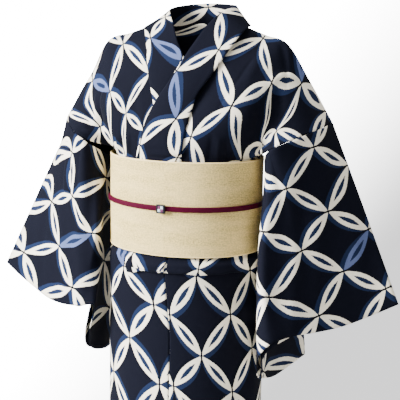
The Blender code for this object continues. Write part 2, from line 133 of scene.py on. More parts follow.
# Bodice sections from the collar seam (c) past the neck side (n), the middle (m) and the
# armpit's hollow (s) to the armhole (a); the first on the shoulder fold, the last at the obi.
FRONT_SECTIONS = table(
    "cx cy cz  nx ny nz  mx my mz  sx sy sz  ax ay az",
    (.086, .028, -.017, .127, .022, -.032, .168, .014, -.047, .206, .024, -.108, .2463, .037, -.1790),
    (.064, -.058, -.073, .100, -.055, -.080, .143, -.047, -.090, .190, -.030, -.124, .2350, -.020, -.1850),
    (.032, -.099, -.136, .076, -.101, -.140, .126, -.092, -.145, .167, -.056, -.163, .2060, -.066, -.1975),
    (.018, -.119, -.190, .060, -.119, -.192, .106, -.103, -.196, .142, -.066, -.206, .1680, -.093, -.2150),
    (.016, -.1222, -.240, .0535, -.1135, -.240, .095, -.0888, -.240, .1180, -.0586, -.240, .1262, -.018, -.2400),
)
BACK_SECTIONS = table(
    "cx cy cz  nx ny nz  mx my mz  sx sy sz  ax ay az",
    (.086, .028, -.017, .127, .022, -.032, .168, .014, -.047, .206, .024, -.108, .2463, .037, -.1790),
    (.0495, .0825, -.020, .096, .066, -.050, .145, .054, -.075, .194, .052, -.120, .2380, .058, -.1855),
    (.0003, .0950, -.0225, .060, .096, -.090, .118, .086, -.115, .166, .072, -.152, .2070, .082, -.1985),
    (.0003, .092, -.150, .052, .088, -.160, .104, .073, -.175, .142, .052, -.194, .1680, .071, -.2150),
    (.0003, .0775, -.240, .052, .0686, -.240, .094, .0443, -.240, .1180, .0132, -.240, .1262, -.016, -.2400),
)
SECTION_LEVELS = (0.0, 1.0, 2.0, 3.0, 4.0)
# A sleeve by how far its cloth has dropped from the top fold: body end (b), middle (m), cuff (c).
LEFT_SLEEVE_FRONT = table(
    "drop  bx by bz  mx my mz  cx cy cz",
    (0.000, .2470, .037, -.1800, .3145, .018, -.3310, .3810, -.002, -.4810),
    (0.050, .2357, -.020, -.1860, .2834, -.028, -.3450, .3360, -.020, -.5020),
    (0.100, .2067, -.066, -.1985, .2480, -.062, -.3570, .2930, -.056, -.5150),
    (0.150, .1700, -.095, -.2165, .2130, -.095, -.3685, .2500, -.092, -.5200),
    (0.190, .1570, -.084, -.2290, .1850, -.121, -.3780, .2170, -.120, -.5220),
    (0.220, .1520, -.054, -.2400, .1680, -.130, -.3880, .1930, -.142, -.5300),
    (0.262, .1520, -.012, -.2560, .1540, -.094, -.4060, .1690, -.134, -.5620),
    (0.300, .1560, .022, -.2700, .1520, -.056, -.4240, .1610, -.100, -.6050),
    (0.350, .1640, .055, -.2880, .1560, -.006, -.4440, .1640, -.048, -.6280),
    (0.420, .1780, .090, -.3080, .1690, .060, -.4650, .1800, .030, -.6330),
    (0.490, .1960, .115, -.3220, .1890, .112, -.4760, .2040, .098, -.6300),
)
RIGHT_SLEEVE_FRONT = table(
    "drop  bx by bz  mx my mz  cx cy cz",
    (0.000, .2470, .037, -.1800, .3145, .018, -.3310, .3810, -.002, -.4830),
    (0.050, .2357, -.020, -.1860, .2790, -.020, -.3430, .3400, -.024, -.4985),
    (0.100, .2067, -.066, -.1985, .2420, -.050, -.3550, .2970, -.046, -.5120),
    (0.150, .1700, -.095, -.2165, .2030, -.076, -.3670, .2530, -.066, -.5250),
    (0.190, .1560, -.080, -.2290, .1700, -.092, -.3750, .2120, -.086, -.5250),
    (0.220, .1510, -.054, -.2400, .1440, -.092, -.3800, .1750, -.104, -.5185),
    (0.262, .1510, -.016, -.2560, .1500, -.052, -.3960, .1420, -.106, -.5150),
    (0.300, .1550, .016, -.2700, .1560, -.016, -.4150, .1590, -.090, -.5650),
    (0.350, .1630, .050, -.2880, .1600, .030, -.4400, .1720, -.062, -.6080),
    (0.420, .1780, .088, -.3080, .1700, .086, -.4620, .1700, -.005, -.6330),
    (0.490, .1960, .115, -.3220, .1880, .128, -.4740, .1760, .060, -.6400),
)
LEFT_SLEEVE_BACK = table(
    "drop  bx by bz  mx my mz  cx cy cz",
    (0.220, .1580, .052, -.2400, .1790, -.104, -.3880, .2020, -.124, -.5330),
    (0.190, .1600, .066, -.2270, .2000, -.056, -.3800, .2350, -.058, -.5260),
    (0.150, .1700, .073, -.2160, .2230, -.016, -.3700, .2780, -.006, -.5220),
    (0.100, .2077, .083, -.1995, .2560, .028, -.3580, .3200, .034, -.5120),
    (0.050, .2387, .059, -.1865, .2900, .044, -.3440, .3570, .036, -.4980),
)
RIGHT_SLEEVE_BACK = table(
    "drop  bx by bz  mx my mz  cx cy cz",
    (0.220, .1580, .052, -.2400, .1620, -.074, -.3825, .1860, -.086, -.5260),
    (0.190, .1600, .066, -.2270, .1880, -.048, -.3780, .2240, -.055, -.5270),
    (0.150, .1700, .073, -.2160, .2200, -.010, -.3690, .2680, -.014, -.5240),
    (0.100, .2077, .083, -.1995, .2560, .028, -.3580, .3140, .024, -.5120),
    (0.050, .2387, .059, -.1865, .2900, .044, -.3440, .3550, .028, -.4985),
)
LAYER_LIFT = (0.0085, 0.0010, 0.0020)
COLLAR_BODICE = table(
    "sx sy sz  ex ey ez",
    (.0290, -.1315, -.224, -.0470, -.1300, -.212),
    (.0320, -.1265, -.192, -.0380, -.1235, -.174),
    (.0390, -.1170, -.158, -.0220, -.1160, -.139),
    (.0460, -.1075, -.130, -.0070, -.1040, -.112),
    (.0590, -.0915, -.106, .0050, -.0885, -.086),
    (.0740, -.0655, -.074, .0170, -.0580, -.053),
    (.0910, -.0250, -.035, .0340, -.0160, -.014),
    (.0970, .0120, -.019, .0520, .0150, .009),
    (.0900, .0500, -.016, .0640, .0500, .018),
    (.0520, .0880, -.020, .0420, .0780, .022),
    (.0000, .1010, -.024, .0000, .0880, .024),
    (-.0520, .0880, -.020, -.0420, .0780, .020),
    (-.0900, .0480, -.016, -.0590, .0480, .012),
    (-.0930, .0080, -.021, -.0470, .0140, .001),
    (-.0830, -.0180, -.030, -.0300, -.0160, -.018),
    (-.0650, -.0540, -.060, -.0120, -.0450, -.044),
    (-.0560, -.0740, -.082, .0060, -.0650, -.068),
    (-.0450, -.0930, -.108, .0170, -.0760, -.090),
    (-.0340, -.1060, -.136, .0260, -.0860, -.115),
    (-.0240, -.1174, -.170, .0340, -.0980, -.155),
    (-.0200, -.1236, -.210, .0420, -.1085, -.205),
)
COLLAR_LEFT_DOWN = table(
    "z seam edge out",
    (-0.4260, 1.5, -28.0, 0.0000),
    (-0.4140, 2.0, -28.0, 0.0008),
    (-0.4040, 2.5, -27.5, 0.0007),
    (-0.3900, 3.0, -27.0, 0.0000),
    (-0.3300, 7.0, -26.0, 0.0000),
    (-0.2440, 11.5, -25.0, 0.0000),
)
COLLAR_RIGHT_DOWN = table(
    "z seam edge out",
    (-0.2440, -9.0, 22.0, 0.0000),
    (-0.3300, -7.0, 24.0, 0.0000),
    (-0.3900, -5.0, 25.0, 0.0000),
)

# ---- folds: soft ridges (up) and troughs (down) along short lines. The seen ones go by their
# ends' places in the camera's frame, right and down from its top left, and the hidden ones by
# places in metres. Widths and heights are in metres -----------------------------------------------
BODY_LEFT_FOLDS = table(
    "right0 down0 right1 down1  wide high",
    (273, 93, 275, 127, .0115, -.024),
    (279, 97, 277, 122, .008, -.012),
    (271, 80, 284, 75, .007, .005),
    (285, 73, 300, 81, .007, .0045),
    (284, 62, 285.5, 86, .003, -.0045),
    (281, 46, 284, 70, .0055, -.003),
    (288, 50, 291, 70, .005, .003),
    (295, 62, 298, 78, .005, -.0022),
    (252, 60, 239, 79, .003, -.0016),
    (239, 79, 218, 109, .003, -.002),
    (258, 60, 246, 82, .008, .0018),
    (262, 95, 256, 128, .011, -.0035),
    (248, 112, 252, 140, .009, .002),
    (212, 136, 208, 162, .0045, -.0018),
    (219, 140, 217, 162, .004, .0018),
    (226, 142, 227, 162, .0045, -.0022),
    (234, 144, 237, 161, .004, .002),
    (274, 134, 250, 143, .0045, .005),
    (270, 141, 250, 152, .0045, -.008),
    (258, 148, 250, 160, .004, .0035),
    (264, 150, 258, 159, .004, -.006),
    (177.5, 259, 178.2, 271, .0016, -.002),
)
BODY_LEFT_HIDDEN_FOLDS = table(
    "x0 y0 z0 x1 y1 z1  wide high",
    (.04, .075, -.11, .085, .078, -.215, .012, -.003),
    (.095, .078, -.12, .112, .06, -.225, .01, .0035),
    (.15, .07, -.14, .16, .05, -.2, .01, -.008),
    (.188, .07, -.15, .165, .062, -.205, .011, -.012),
    (.06, .07, -.2, .075, .056, -.238, .006, .002),
    (.02, .082, -.195, .018, .078, -.238, .006, -.0018),
    (.1, -.095, -.5, .04, -.126, -.535, .01, .0008),
    (.128, -.05, -.6, .11, -.085, -.75, .014, -.0012),
    (.1, .075, -.45, .085, .085, -.6, .014, -.0015),
)
BODY_RIGHT_FOLDS = table(
    "right0 down0 right1 down1  wide high",
    (105, 86, 103.5, 126, .0075, -.02),
    (117, 138, 119, 158, .003, .003),
    (122, 136, 123, 158, .003, -.003),
    (128, 134, 129, 158, .0035, .0028),
    (126, 50, 119, 76, .005, -.0016),
    (133, 88, 138, 120, .008, -.0016),
    (96, 96, 93, 122, .006, .002),
    (88, 106, 90, 128, .005, -.002),
    (84, 130, 100, 136, .004, .003),
)
BODY_RIGHT_HIDDEN_FOLDS = table(
    "x0 y0 z0 x1 y1 z1  wide high",
    (-.045, .08, -.11, -.08, .078, -.215, .011, -.003),
    (-.098, .078, -.125, -.112, .06, -.225, .01, .0032),
    (-.152, .07, -.145, -.158, .05, -.2, .01, -.0085),
    (-.186, .07, -.15, -.165, .062, -.205, .011, -.012),
    (-.055, .07, -.198, -.07, .056, -.238, .006, .002),
)
OKUMI_FOLDS = table(
    "right0 down0 right1 down1  wide high",
    (115, 292, 140, 297, .003, .0008),
    (140, 297, 160, 295, .0035, -.0006),
)
OKUMI_HIDDEN_FOLDS = table(
    "x0 y0 z0 x1 y1 z1  wide high",
    (-.09, -.105, -.6, -.12, -.08, -.75, .012, -.001),
)
LEFT_SLEEVE_FOLDS = table(
    "right0 down0 right1 down1  wide high",
    (297, 142, 285, 200, .014, .003),
    (306, 150, 300, 240, .015, -.003),
    (330, 140, 338, 230, .018, -.0026),
    (345, 190, 362, 290, .017, .0026),
    (318, 200, 316, 300, .017, .0024),
    (283, 200, 272, 330, .016, -.0035),
    (296, 240, 292, 335, .012, .003),
    (268, 175, 264, 250, .007, .003),
)
LEFT_SLEEVE_HIDDEN_FOLDS = table(
    "x0 y0 z0 x1 y1 z1  wide high",
    (.225, .075, -.26, .255, .05, -.42, .016, -.0035),
    (.265, .062, -.25, .3, .045, -.45, .015, .003),
    (.205, .08, -.28, .215, .04, -.5, .015, .003),
    (.31, .038, -.34, .335, .035, -.48, .012, -.0025),
)
RIGHT_SLEEVE_FOLDS = table(
    "right0 down0 right1 down1  wide high",
    (71, 150, 70.5, 197, .0032, -.0055),
    (67, 158, 64, 200, .006, .0025),
    (84, 145, 80, 230, .012, .0026),
    (92, 180, 90, 290, .011, -.004),
    (60, 205, 66, 290, .013, .0026),
    (45, 215, 42, 280, .013, -.003),
    (30, 225, 26, 265, .01, .0022),
    (78, 240, 80, 300, .01, .0022),
)
RIGHT_SLEEVE_HIDDEN_FOLDS = table(
    "x0 y0 z0 x1 y1 z1  wide high",
    (-.225, .075, -.26, -.255, .05, -.42, .016, -.0035),
    (-.265, .062, -.25, -.3, .045, -.45, .015, .003),
    (-.205, .08, -.28, -.215, .04, -.5, .015, .003),
)
COLLAR_FOLDS = table(
    "right0 down0 right1 down1  wide high",
    (178, 126, 184, 152, .0026, -.0024),
    (173, 128, 175, 146, .003, .0014),
    (172, 145, 181, 162, .0026, -.0022),
    (179, 144, 186, 160, .003, .0018),
    (150, 148, 172, 150, .0028, -.0012),
    (148, 153, 172, 155.5, .0026, .0012),
    (212, 70, 196, 97, .004, .0008),
)

# ---- print: where nodes of the petals show in the camera's frame, and their steps across and
# along the cloth. The unseen ones have a place in metres -------------------------------------------
BODY_LEFT_PRINT = table(
    "right down  across along",
    (232, 106, 0, 0),
    (245.5, 70, 0, -1),
    (257.5, 119, 1, 0),
    (218.5, 142, 0, 1),
    (190.5, 136.5, -1, 1),
    (242, 158, 1, .93),
    (271, 83, 1, -1),
    (220, 57, -1, -1),
    (263, 39, 0, -2),
    (301, 84, 2, -2),
    (276, 131.5, 3, -1),
    (295, 138, 3.5, -1.5),
    (318, 127, 3.5, -2.5),
)
BODY_LEFT_UNSEEN = table(
    "x y z  across along",
    (.232, .04, -.16, 3, -3),
)
SKIRT_LEFT_PRINT = table(
    "right down  across along",
    (196, 278, 0, 0),
    (250, 272, 2, 0),
    (170, 316, -1, 1),
    (230, 316, 1, 1),
    (202, 354, 0, 2),
    (252, 350, 2, 2),
    (174, 389, -1, 3),
    (232, 393, 1, 3),
)
TUCK_LEFT_PRINT = table(
    "right down  across along",
    (199, 269.5, 0, 0),
    (250, 270, 2, 0),
    (222, 259, .85, -.42),
)
BODY_RIGHT_PRINT = table(
    "right down  across along",
    (123, 45, 0, 0),
    (126.5, 79, 0, 1),
    (110, 91, 1, 1),
    (126, 113, 0, 2),
    (93, 80, 2, 0),
    (100, 127, 3, 1),
    (86, 103, 2.62, .38),
    (143, 130, -1, 3),
    (126, 158, 1, 3),
)
BODY_RIGHT_UNSEEN = table(
    "x y z  across along",
    (-.047, -.087, -.091, -1, 1),
)
OKUMI_LEFT_PRINT = table(
    "right down  across along",
    (124, 265, 0, 0),
    (121.5, 254, .34, -.34),
    (153, 307, -1, 1),
    (112, 297, 1, 1),
    (130, 340.5, 0, 2),
    (159, 383, -1, 3),
    (114, 371, 1, 3),
)
OKUMI_TUCK_PRINT = table(
    "right down  across along",
    (134.5, 254.5, -.052, .053),
    (144, 268, -.535, .261),
    (131.5, 268, -.162, .407),
    (153, 257.5, -.64, -.1),
    (152, 268, -.8, .16),
    (159, 269, -1.37, .42),
    (164, 270, -1.5, .42),
    (165, 260, -1.45, .08),
)
COLLAR_PRINT = table(
    "right down  across along",
    (141, 145, 1, -1),
    (176, 120, 0, 0),
    (177, 70.5, 1, 1),
    (219, 50, 0, 2),
    (221, 13, 1, 3),
    (165, 18, 1, 7),
    (146.3, 31.5, -.18, 7.74),
    (153, 89.5, -.4, 9.36),
    (147.6, 51, -.29, 8.3),
    (148.3, 66, -.44, 8.72),
    (157.5, 103.5, .86, .1),
    (197.5, 85, 0, 1),
    (155, 154, 0, -1),
    (151, 38, 0, 8),
    (174, 73, .6, 9.1),
    (181, 52, .93, 8.72),
    (148, 120, .87, -.33),
    (181, 60, 1, 9),
    (134.5, 254.5, -.052, -4.053),
    (144, 268, -.535, -4.261),
    (153, 257.5, -.64, -3.9),
    (152, 268, -.8, -4.16),
    (159, 269, -1.37, -4.42),
    (165, 260, -1.45, -4.08),
)
SLEEVE_LEFT_PRINT = table(
    "right down  across along",
    (368, 228, 2, 0),
    (387, 288, 4, 0),
    (314, 147, -1, 1),
    (329, 210, 1, 1),
    (345, 271, 3, 1),
    (286, 190, 0, 2),
    (301, 252, 2, 2),
    (318, 315, 4, 2),
    (262, 232, 1, 3),
    (270, 296, 3, 3),
)
SLEEVE_LEFT_UNSEEN = table(
    "x y z  across along",
    (.279, .028, -.251, 0, 0),
)
SLEEVE_LEFT_INSIDE = table(
    "right down  across along",
    (276, 364, 4.591, -7.357),
    (288, 359, 4.288, -7.548),
    (290, 350, 4.04, -7.424),
    (275, 348, 4.218, -7.029),
    (296, 352, 3.997, -7.605),
)
SLEEVE_RIGHT_PRINT = table(
    "right down  across along",
    (60, 246, 0, 0),
    (24, 251, 1, -1),
    (52, 203, -1, -1),
    (92, 234, -1, 1),
    (72, 288, 1, 1),
    (104, 261, 0, 2),
    (109, 307, 1, 3),
    (72, 195, -2, 0),
    (72, 152, -3, -1),
    (106, 178, -3, 1),
    (85.5, 140, -4, 0),
    (84, 166, -3, 0),
    (61, 178, -2, -1),
    (99, 206, -2, 1),
    (69, 219, -1, 0),
    (56, 160, -2.45, -1.55),
    (34, 209.5, -.4, -1.6),
    (21, 238, .65, -1.35),
)


# ---- curves, rings and folds -----------------------------------------------------------------
def smooth(knots, rows, at):
    """Cubic curve through the rows at the knots, each slope the blend of its neighbours'."""
    knots = np.asarray(knots, float)
    rows = np.asarray(rows, float)
    gaps = np.diff(knots)[:, None]
    slopes = np.diff(rows, axis=0) / gaps
    inner = (slopes[1:] * gaps[:-1] + slopes[:-1] * gaps[1:]) / (gaps[1:] + gaps[:-1])
    tangents = np.vstack([slopes[:1], inner, slopes[-1:]])
    i = np.clip(np.searchsorted(knots, at, side="right") - 1, 0, len(gaps) - 1)
    t = ((np.asarray(at) - knots[i]) / gaps[i, 0])[:, None]
    h = gaps[i]
    return ((1 + 2 * t) * (1 - t) ** 2 * rows[i] + t * (1 - t) ** 2 * h * tangents[i]
            + t ** 2 * (3 - 2 * t) * rows[i + 1] + t ** 2 * (t - 1) * h * tangents[i + 1])


def ease(x):
    """0 to 1, soft at both ends: 3x^2 - 2x^3."""
    x = np.clip(x, 0, 1)
    return x * x * (3 - 2 * x)


def points(rows, first):
    """The three columns of a table whose names start with a letter, as points."""
    return np.stack([rows[first + axis] for axis in "xyz"], axis=-1)


def ring_size(rings, z):
    """Half width, half depth and centre of the ring at each height, straight between rows."""
    knots = rings["z"]
    rows = np.stack([rings[k] for k in ("half_width", "half_depth", "centre_y")], -1)
    flat = np.clip(np.ravel(z), knots[0], knots[-1])
    got = np.stack([np.interp(flat, knots, rows[:, k]) for k in range(3)], -1)
    return [got[:, k].reshape(np.shape(z)) for k in range(3)]


def on_ring(rings, z, angle, out):
    """Ellipse of the ring at height z: x = a sin(angle), y = centre - b cos(angle), moved out."""
    width, depth, centre = ring_size(rings, np.asarray(z, float))
    turn = np.radians(angle)
    x = (width + out) * np.sin(turn)
    y = centre - (depth + out) * np.cos(turn)
    return np.stack(np.broadcast_arrays(x, y, z), axis=-1)


def outward(grid, closed=False):
    """Unit normals of a grid of points: the cross product of its two central differences."""
    if closed:
        wrapped = np.concatenate([grid[:, -1:], grid, grid[:, :1]], 1)
        across = (wrapped[:, 2:] - wrapped[:, :-2]) / 2
    else:
        across = np.gradient(grid, axis=1)
    along = np.gradient(grid, axis=0)
    n = np.cross(across, along)
    return n / np.maximum(np.linalg.norm(n, axis=-1, keepdims=True), 1e-12)


def fold_height(grid, starts, ends, wide, high):
    """Sum of the folds at each point: high * exp(-(d / wide)^2), d the distance to the fold's
    line, fading to nothing at both its ends."""
    total = np.zeros(grid.shape[:2])
    for start, end, width, height in zip(starts, ends, wide, high):
        run = end - start
        share = ((grid - start) @ run) / (run @ run)
        near = start + np.clip(share, 0, 1)[..., None] * run
        d = np.linalg.norm(grid - near, axis=-1)
        total += height * np.exp(-(d / width) ** 2) * ease(1.25 - np.abs(2 * share - 1) * 0.75)
    return total


def points_of(rows, last):
    """The x, y and z columns of a table whose names end with a digit, as points."""
    return np.stack([rows[axis + last] for axis in "xyz"], axis=-1)


def arc(grid, axis):
    """Running length of the grid's lines along an axis, from their first point."""
    step = np.linalg.norm(np.diff(grid, axis=axis), axis=-1)
    pad = [(1, 0) if k == axis else (0, 0) for k in range(2)]
    return np.cumsum(np.pad(step, pad), axis=axis)


# ---- places in the camera's frame --------------------------------------------------------------
def cells(index):
    """The corners of each cell between neighbouring rows and columns of an index grid, in turn."""
    return np.stack([index[:-1, :-1], index[:-1, 1:], index[1:, 1:], index[1:, :-1]], -1).reshape(-1, 4)


def met(shape, right, down, closed=False):
    """Where rays from the camera through places of its frame first meet a shape, to the
    millimetre. A ray runs along ahead + right * u + up * v."""
    index = np.arange(shape.shape[0] * shape.shape[1]).reshape(shape.shape[:2])
    if closed:
        index = np.hstack([index, index[:, :1]])
    surface = BVHTree.FromPolygons(shape.reshape(-1, 3).tolist(), cells(index).tolist())
    aside, above = (right - FRAME / 2) / FOCAL, (FRAME / 2 - down) / FOCAL
    rays = AHEAD + CAMERA_RIGHT * aside[:, None] + CAMERA_UP * above[:, None]
    hits = [surface.ray_cast(Vector(CAMERA_PLACE), Vector(ray).normalized())[0] for ray in rays]
    return np.round(np.array(hits, float), 3)


def with_folds(grid, facing, seen, unseen=None, closed=False):
    """A grid raised and sunk along its folds. Those given in the camera's frame are found on the
    plain grid first, and then again on the folded one."""
    shape = grid
    for _ in range(FOLD_PASSES):
        lines = [met(shape, seen["right" + end], seen["down" + end], closed) for end in "01"]
        lines += [seen["wide"], seen["high"]]
        if unseen:
            hidden = points_of(unseen, "0"), points_of(unseen, "1"), unseen["wide"], unseen["high"]
            lines = [np.concatenate(pair) for pair in zip(lines, hidden)]
        shape = grid + facing * fold_height(grid, *lines)[..., None]
    return shape


def nodes_on(shape, seen, unseen=None, closed=False):
    """Nodes of the print: their places on a piece's shape and their steps."""
    places = met(shape, seen["right"], seen["down"], closed)
    steps = np.stack([seen["across"], seen["along"]], -1)
    if unseen:
        places = np.vstack([places, points(unseen, "")])
        steps = np.vstack([steps, np.stack([unseen["across"], unseen["along"]], -1)])
    return places, steps


# ---- print placing -----------------------------------------------------------------------------
def place_print(grid, rough, nodes, reach=np.inf):
    """Print steps over a piece: its rough steps plus a thin plate through the nodes' errors, a
    plane and r^2 log(r^2) about each node, which bends least while it brings them to place.
    Further than reach from the box of the nodes the shift holds steady."""
    places, wanted = nodes
    scale = np.array([WEFT_STEP, WARP_STEP])
    flat = rough.reshape(-1, 2) * scale
    where = [int(np.argmin(((grid - spot) ** 2).sum(-1))) for spot in places]
    seats = flat[where]
    error = wanted - seats / scale
    square = lambda at: ((at[:, None] - seats[None]) ** 2).sum(-1)
    plate = lambda at: square(at) * np.log(square(at) + 1e-9)
    plane = lambda at: np.column_stack([np.ones(len(at)), at])
    known = np.block([[plate(seats) + PLATE_EASE * np.eye(len(seats)), plane(seats)],
                      [plane(seats).T, np.zeros((3, 3))]])
    pull = np.linalg.solve(known, np.vstack([error, np.zeros((3, 2))]))
    near = np.clip(flat, seats.min(0) - reach, seats.max(0) + reach)
    return (flat / scale + np.hstack([plate(near), plane(near)]) @ pull).reshape(rough.shape)


# ---- meshes ------------------------------------------------------------------------------------
def grid_mesh(name, grid, steps, closed=False, flip=False):
    """Quads over a grid of points, with a UV map "print" of the print's steps per corner.

    A closed grid joins its last column to its first; its steps have one more column."""
    rows, columns = grid.shape[:2]
    index = np.arange(rows * columns).reshape(rows, columns)
    own = np.arange(rows * (columns + closed)).reshape(rows, columns + closed)
    if closed:
        index = np.hstack([index, index[:, :1]])
    quads, corners = cells(index), cells(own)
    if flip:
        quads, corners = quads[:, ::-1], corners[:, ::-1]
    mesh = bpy.data.meshes.new(name)
    mesh.vertices.add(rows * columns)
    mesh.vertices.foreach_set("co", grid.reshape(-1).astype(np.float32))
    mesh.loops.add(quads.size)
    mesh.loops.foreach_set("vertex_index", quads.reshape(-1).astype(np.int32))
    mesh.polygons.add(len(quads))
    mesh.polygons.foreach_set("loop_start", np.arange(0, quads.size, 4, dtype=np.int32))
    mesh.update(calc_edges=True)
    layer = mesh.uv_layers.new(name="print")
    layer.data.foreach_set("uv", steps.reshape(-1, 2)[corners.reshape(-1)].reshape(-1).astype(np.float32))
    mesh.shade_smooth()
    mesh.validate()
    return mesh


def piece(name, mesh, material, wall, node):
    """A shown piece: its mesh as a thin shell, riding on the robe and standing for a node."""
    thing = bpy.data.objects.new(name, mesh)
    bpy.context.scene.collection.objects.link(thing)
    mesh.materials.append(material)
    if wall:
        shell = thing.modifiers.new("cloth_wall", "SOLIDIFY")
        shell.thickness = wall
        shell.offset = 0
        shell.use_even_offset = False
    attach(thing, "root")
    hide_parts(node)
    return thing


# ---- body widths -------------------------------------------------------------------------------
ACROSS = np.linspace(0, 1, 85)
SKIRT_ROWS = np.linspace(0, 1, 60)
WAIST_HEIGHTS = np.linspace(-0.398, -0.244, 12)
BODICE_LEVELS = np.linspace(3.9, 0.0, 72)
TUCK_PATH = table(
    "z_fold out_fold z_plain out_plain",
    (TUCK_TOP - .0030, 0.0, TUCK_TOP - .0030, 0.0),
    (TUCK_TOP, 0.5, TUCK_TOP - .0010, 0.1),
    (TUCK_TOP - .0030, 1.0, TUCK_TOP + .0010, 0.2),
    (TUCK_BOTTOM + .0030, 1.0, TUCK_TOP + .0030, 0.3),
    (TUCK_BOTTOM, 1.5, TUCK_TOP + .0050, 0.4),
    (TUCK_BOTTOM + .0030, 2.0, TUCK_TOP + .0070, 0.6),
    (TUCK_TOP, 2.0, TUCK_TOP + .0090, 0.9),
    (TUCK_TOP + .0100, 2.0, TUCK_TOP + .0110, 2.0),
)
TUCK_ROWS = np.linspace(0, 7, 43)


def hem_height(angle):
    """The hem rises a little toward the wearer's right edge of the left front."""
    return -LENGTH + HEM_RISE * ease((-angle - 10) / 60)


def bodice(sections, levels):
    """Grid of the bodice at the levels: cubic along the table's rows, then across them."""
    corners = np.stack([points(sections, c) for c in "cnmsa"], axis=1)
    rows = smooth(SECTION_LEVELS, corners.reshape(5, -1), levels).reshape(-1, 5, 3)
    across = smooth(np.linspace(0, 1, 5), rows.transpose(1, 0, 2).reshape(5, -1), ACROSS)
    return across.reshape(len(ACROSS), len(levels), 3).transpose(1, 0, 2)


def tuck(angles, skirt_out, bodice_out, fold):
    """The tuck below the obi, a path that doubles back where fold is 1."""
    path = np.stack([TUCK_PATH[k] for k in ("z_fold", "out_fold", "z_plain", "out_plain")], -1)
    z_fold, out_fold, z_plain, out_plain = smooth(np.arange(8), path, TUCK_ROWS).T[..., None]
    z = z_plain + (z_fold - z_plain) * fold + 0 * angles
    share = (out_plain + (out_fold - out_plain) * fold) / 2
    droop = 0.0007 * np.sin(np.radians(angles) * 9) + 0.0005 * np.sin(np.radians(angles) * 23 + 1)
    droop = droop - TUCK_DROOP * ease((-angles - 12) / 18)
    z = z + droop * fold * ease(1 - (z - TUCK_BOTTOM) / 0.012) * ease(share * 2)
    inner = on_ring(SKIRT_RINGS, z, angles, skirt_out)
    outer = on_ring(BODICE_RINGS, z, angles, bodice_out)
    return inner + (outer - inner) * (share + 0 * angles)[..., None]


def seam_lean():
    """How far the okumi seam leans from its angle, down the skirt's rows and the tuck's: it
    swings toward the middle near the tuck, and out again on the tuck's own face."""
    skirt = SEAM_LEAN * ease((SKIRT_ROWS[:-1] - 0.84) / 0.15)
    folded = SEAM_LEAN + (TUCK_LEAN - SEAM_LEAN) * ease((TUCK_ROWS - 2.5) / 2)
    return skirt[:, None], folded[:, None]


def lower_half(angles, skirt_out, bodice_out, fold, lean=0.0):
    """Grids from the hem up to the top of the obi: the skirt and tuck, then the waist. A lean
    of 1 or -1 moves the first column along the leaning seam, and the rest less and less."""
    skirt_lean, tuck_lean = [rows * lean * (1 - ACROSS) for rows in seam_lean()]
    hem = hem_height(angles)
    z = hem + (TUCK_TOP - 0.003 - hem) * SKIRT_ROWS[:-1, None]
    skirt = on_ring(SKIRT_RINGS, z, angles + skirt_lean, skirt_out)
    folded = tuck(angles + tuck_lean, skirt_out, bodice_out, fold)
    waist = on_ring(BODICE_RINGS, WAIST_HEIGHTS[:, None] + 0 * angles, angles + tuck_lean[-1:], bodice_out)
    return np.concatenate([skirt, folded, waist])


def body_grid(side):
    """One width from its front hem over the shoulder to its back hem, and its upper rows."""
    left = side > 0
    front_angles = OKUMI_SEAM + (SIDE_SEAM - SEAM_ANGLE / 2 - OKUMI_SEAM) * ACROSS
    back_angles = BACK_SEAM + (SIDE_SEAM + SEAM_ANGLE / 2 - BACK_SEAM) * ACROSS
    rising = ease((back_angles - SIDE_SEAM) / 20)
    front_skirt = SKIRT_LAP if left else 0.0
    front_out = LAP if left else 0.0
    back_skirt = SKIRT_LAP if left else SKIRT_LAP * rising
    back_out = LAP if left else LAP * rising
    turned = np.array([side, 1, 1])
    away = np.array([0, 1, 0])
    lap = ease((BODICE_LEVELS - 1) / 3)[:, None, None]
    tucked = 1.0 if left else 0.0
    front = lower_half(front_angles * side, front_skirt, front_out, tucked, tucked)
    chest = (bodice(FRONT_SECTIONS, BODICE_LEVELS) - front_out * lap * away) * turned
    back = lower_half(back_angles * side, back_skirt, back_out, 1.0 if left else rising)
    blades = bodice(BACK_SECTIONS, BODICE_LEVELS[:-1])
    blades[..., 0] = np.maximum(blades[..., 0], SEAM_GAP / 2)
    blades = (blades + (np.zeros(len(ACROSS)) + back_out)[None, :, None] * lap[:-1] * away) * turned
    low = len(front)
    return np.concatenate([front, chest, blades[::-1], back[::-1]]), low


def lower_steps(grid, steps, fold, skirt_nodes, tuck_nodes):
    """The skirt's print and the tuck's placed on their own, as the folds hide the cloth between:
    the skirt's measured round it, the tuck's read off its face by x and z."""
    cut, end = len(SKIRT_ROWS) + 11, len(SKIRT_ROWS) + len(TUCK_ROWS)
    skirt, face = grid[:end], grid[cut:end]
    aside = np.sign(face[0, -1, 0])
    over = arc(skirt, 1)
    over[len(SKIRT_ROWS):] = over[len(SKIRT_ROWS) - 2]
    rough = np.stack([over / WEFT_STEP, -skirt[..., 2] / WARP_STEP], -1)
    steps[:end] = place_print(skirt, rough, skirt_nodes)
    on_face = place_print(face, np.stack([face[..., 0] * aside / WEFT_STEP, -face[..., 2] / WARP_STEP], -1),
                          tuck_nodes)
    steps[cut:end] = np.where((fold > 0.5)[..., None], on_face, steps[cut:end])
    return steps


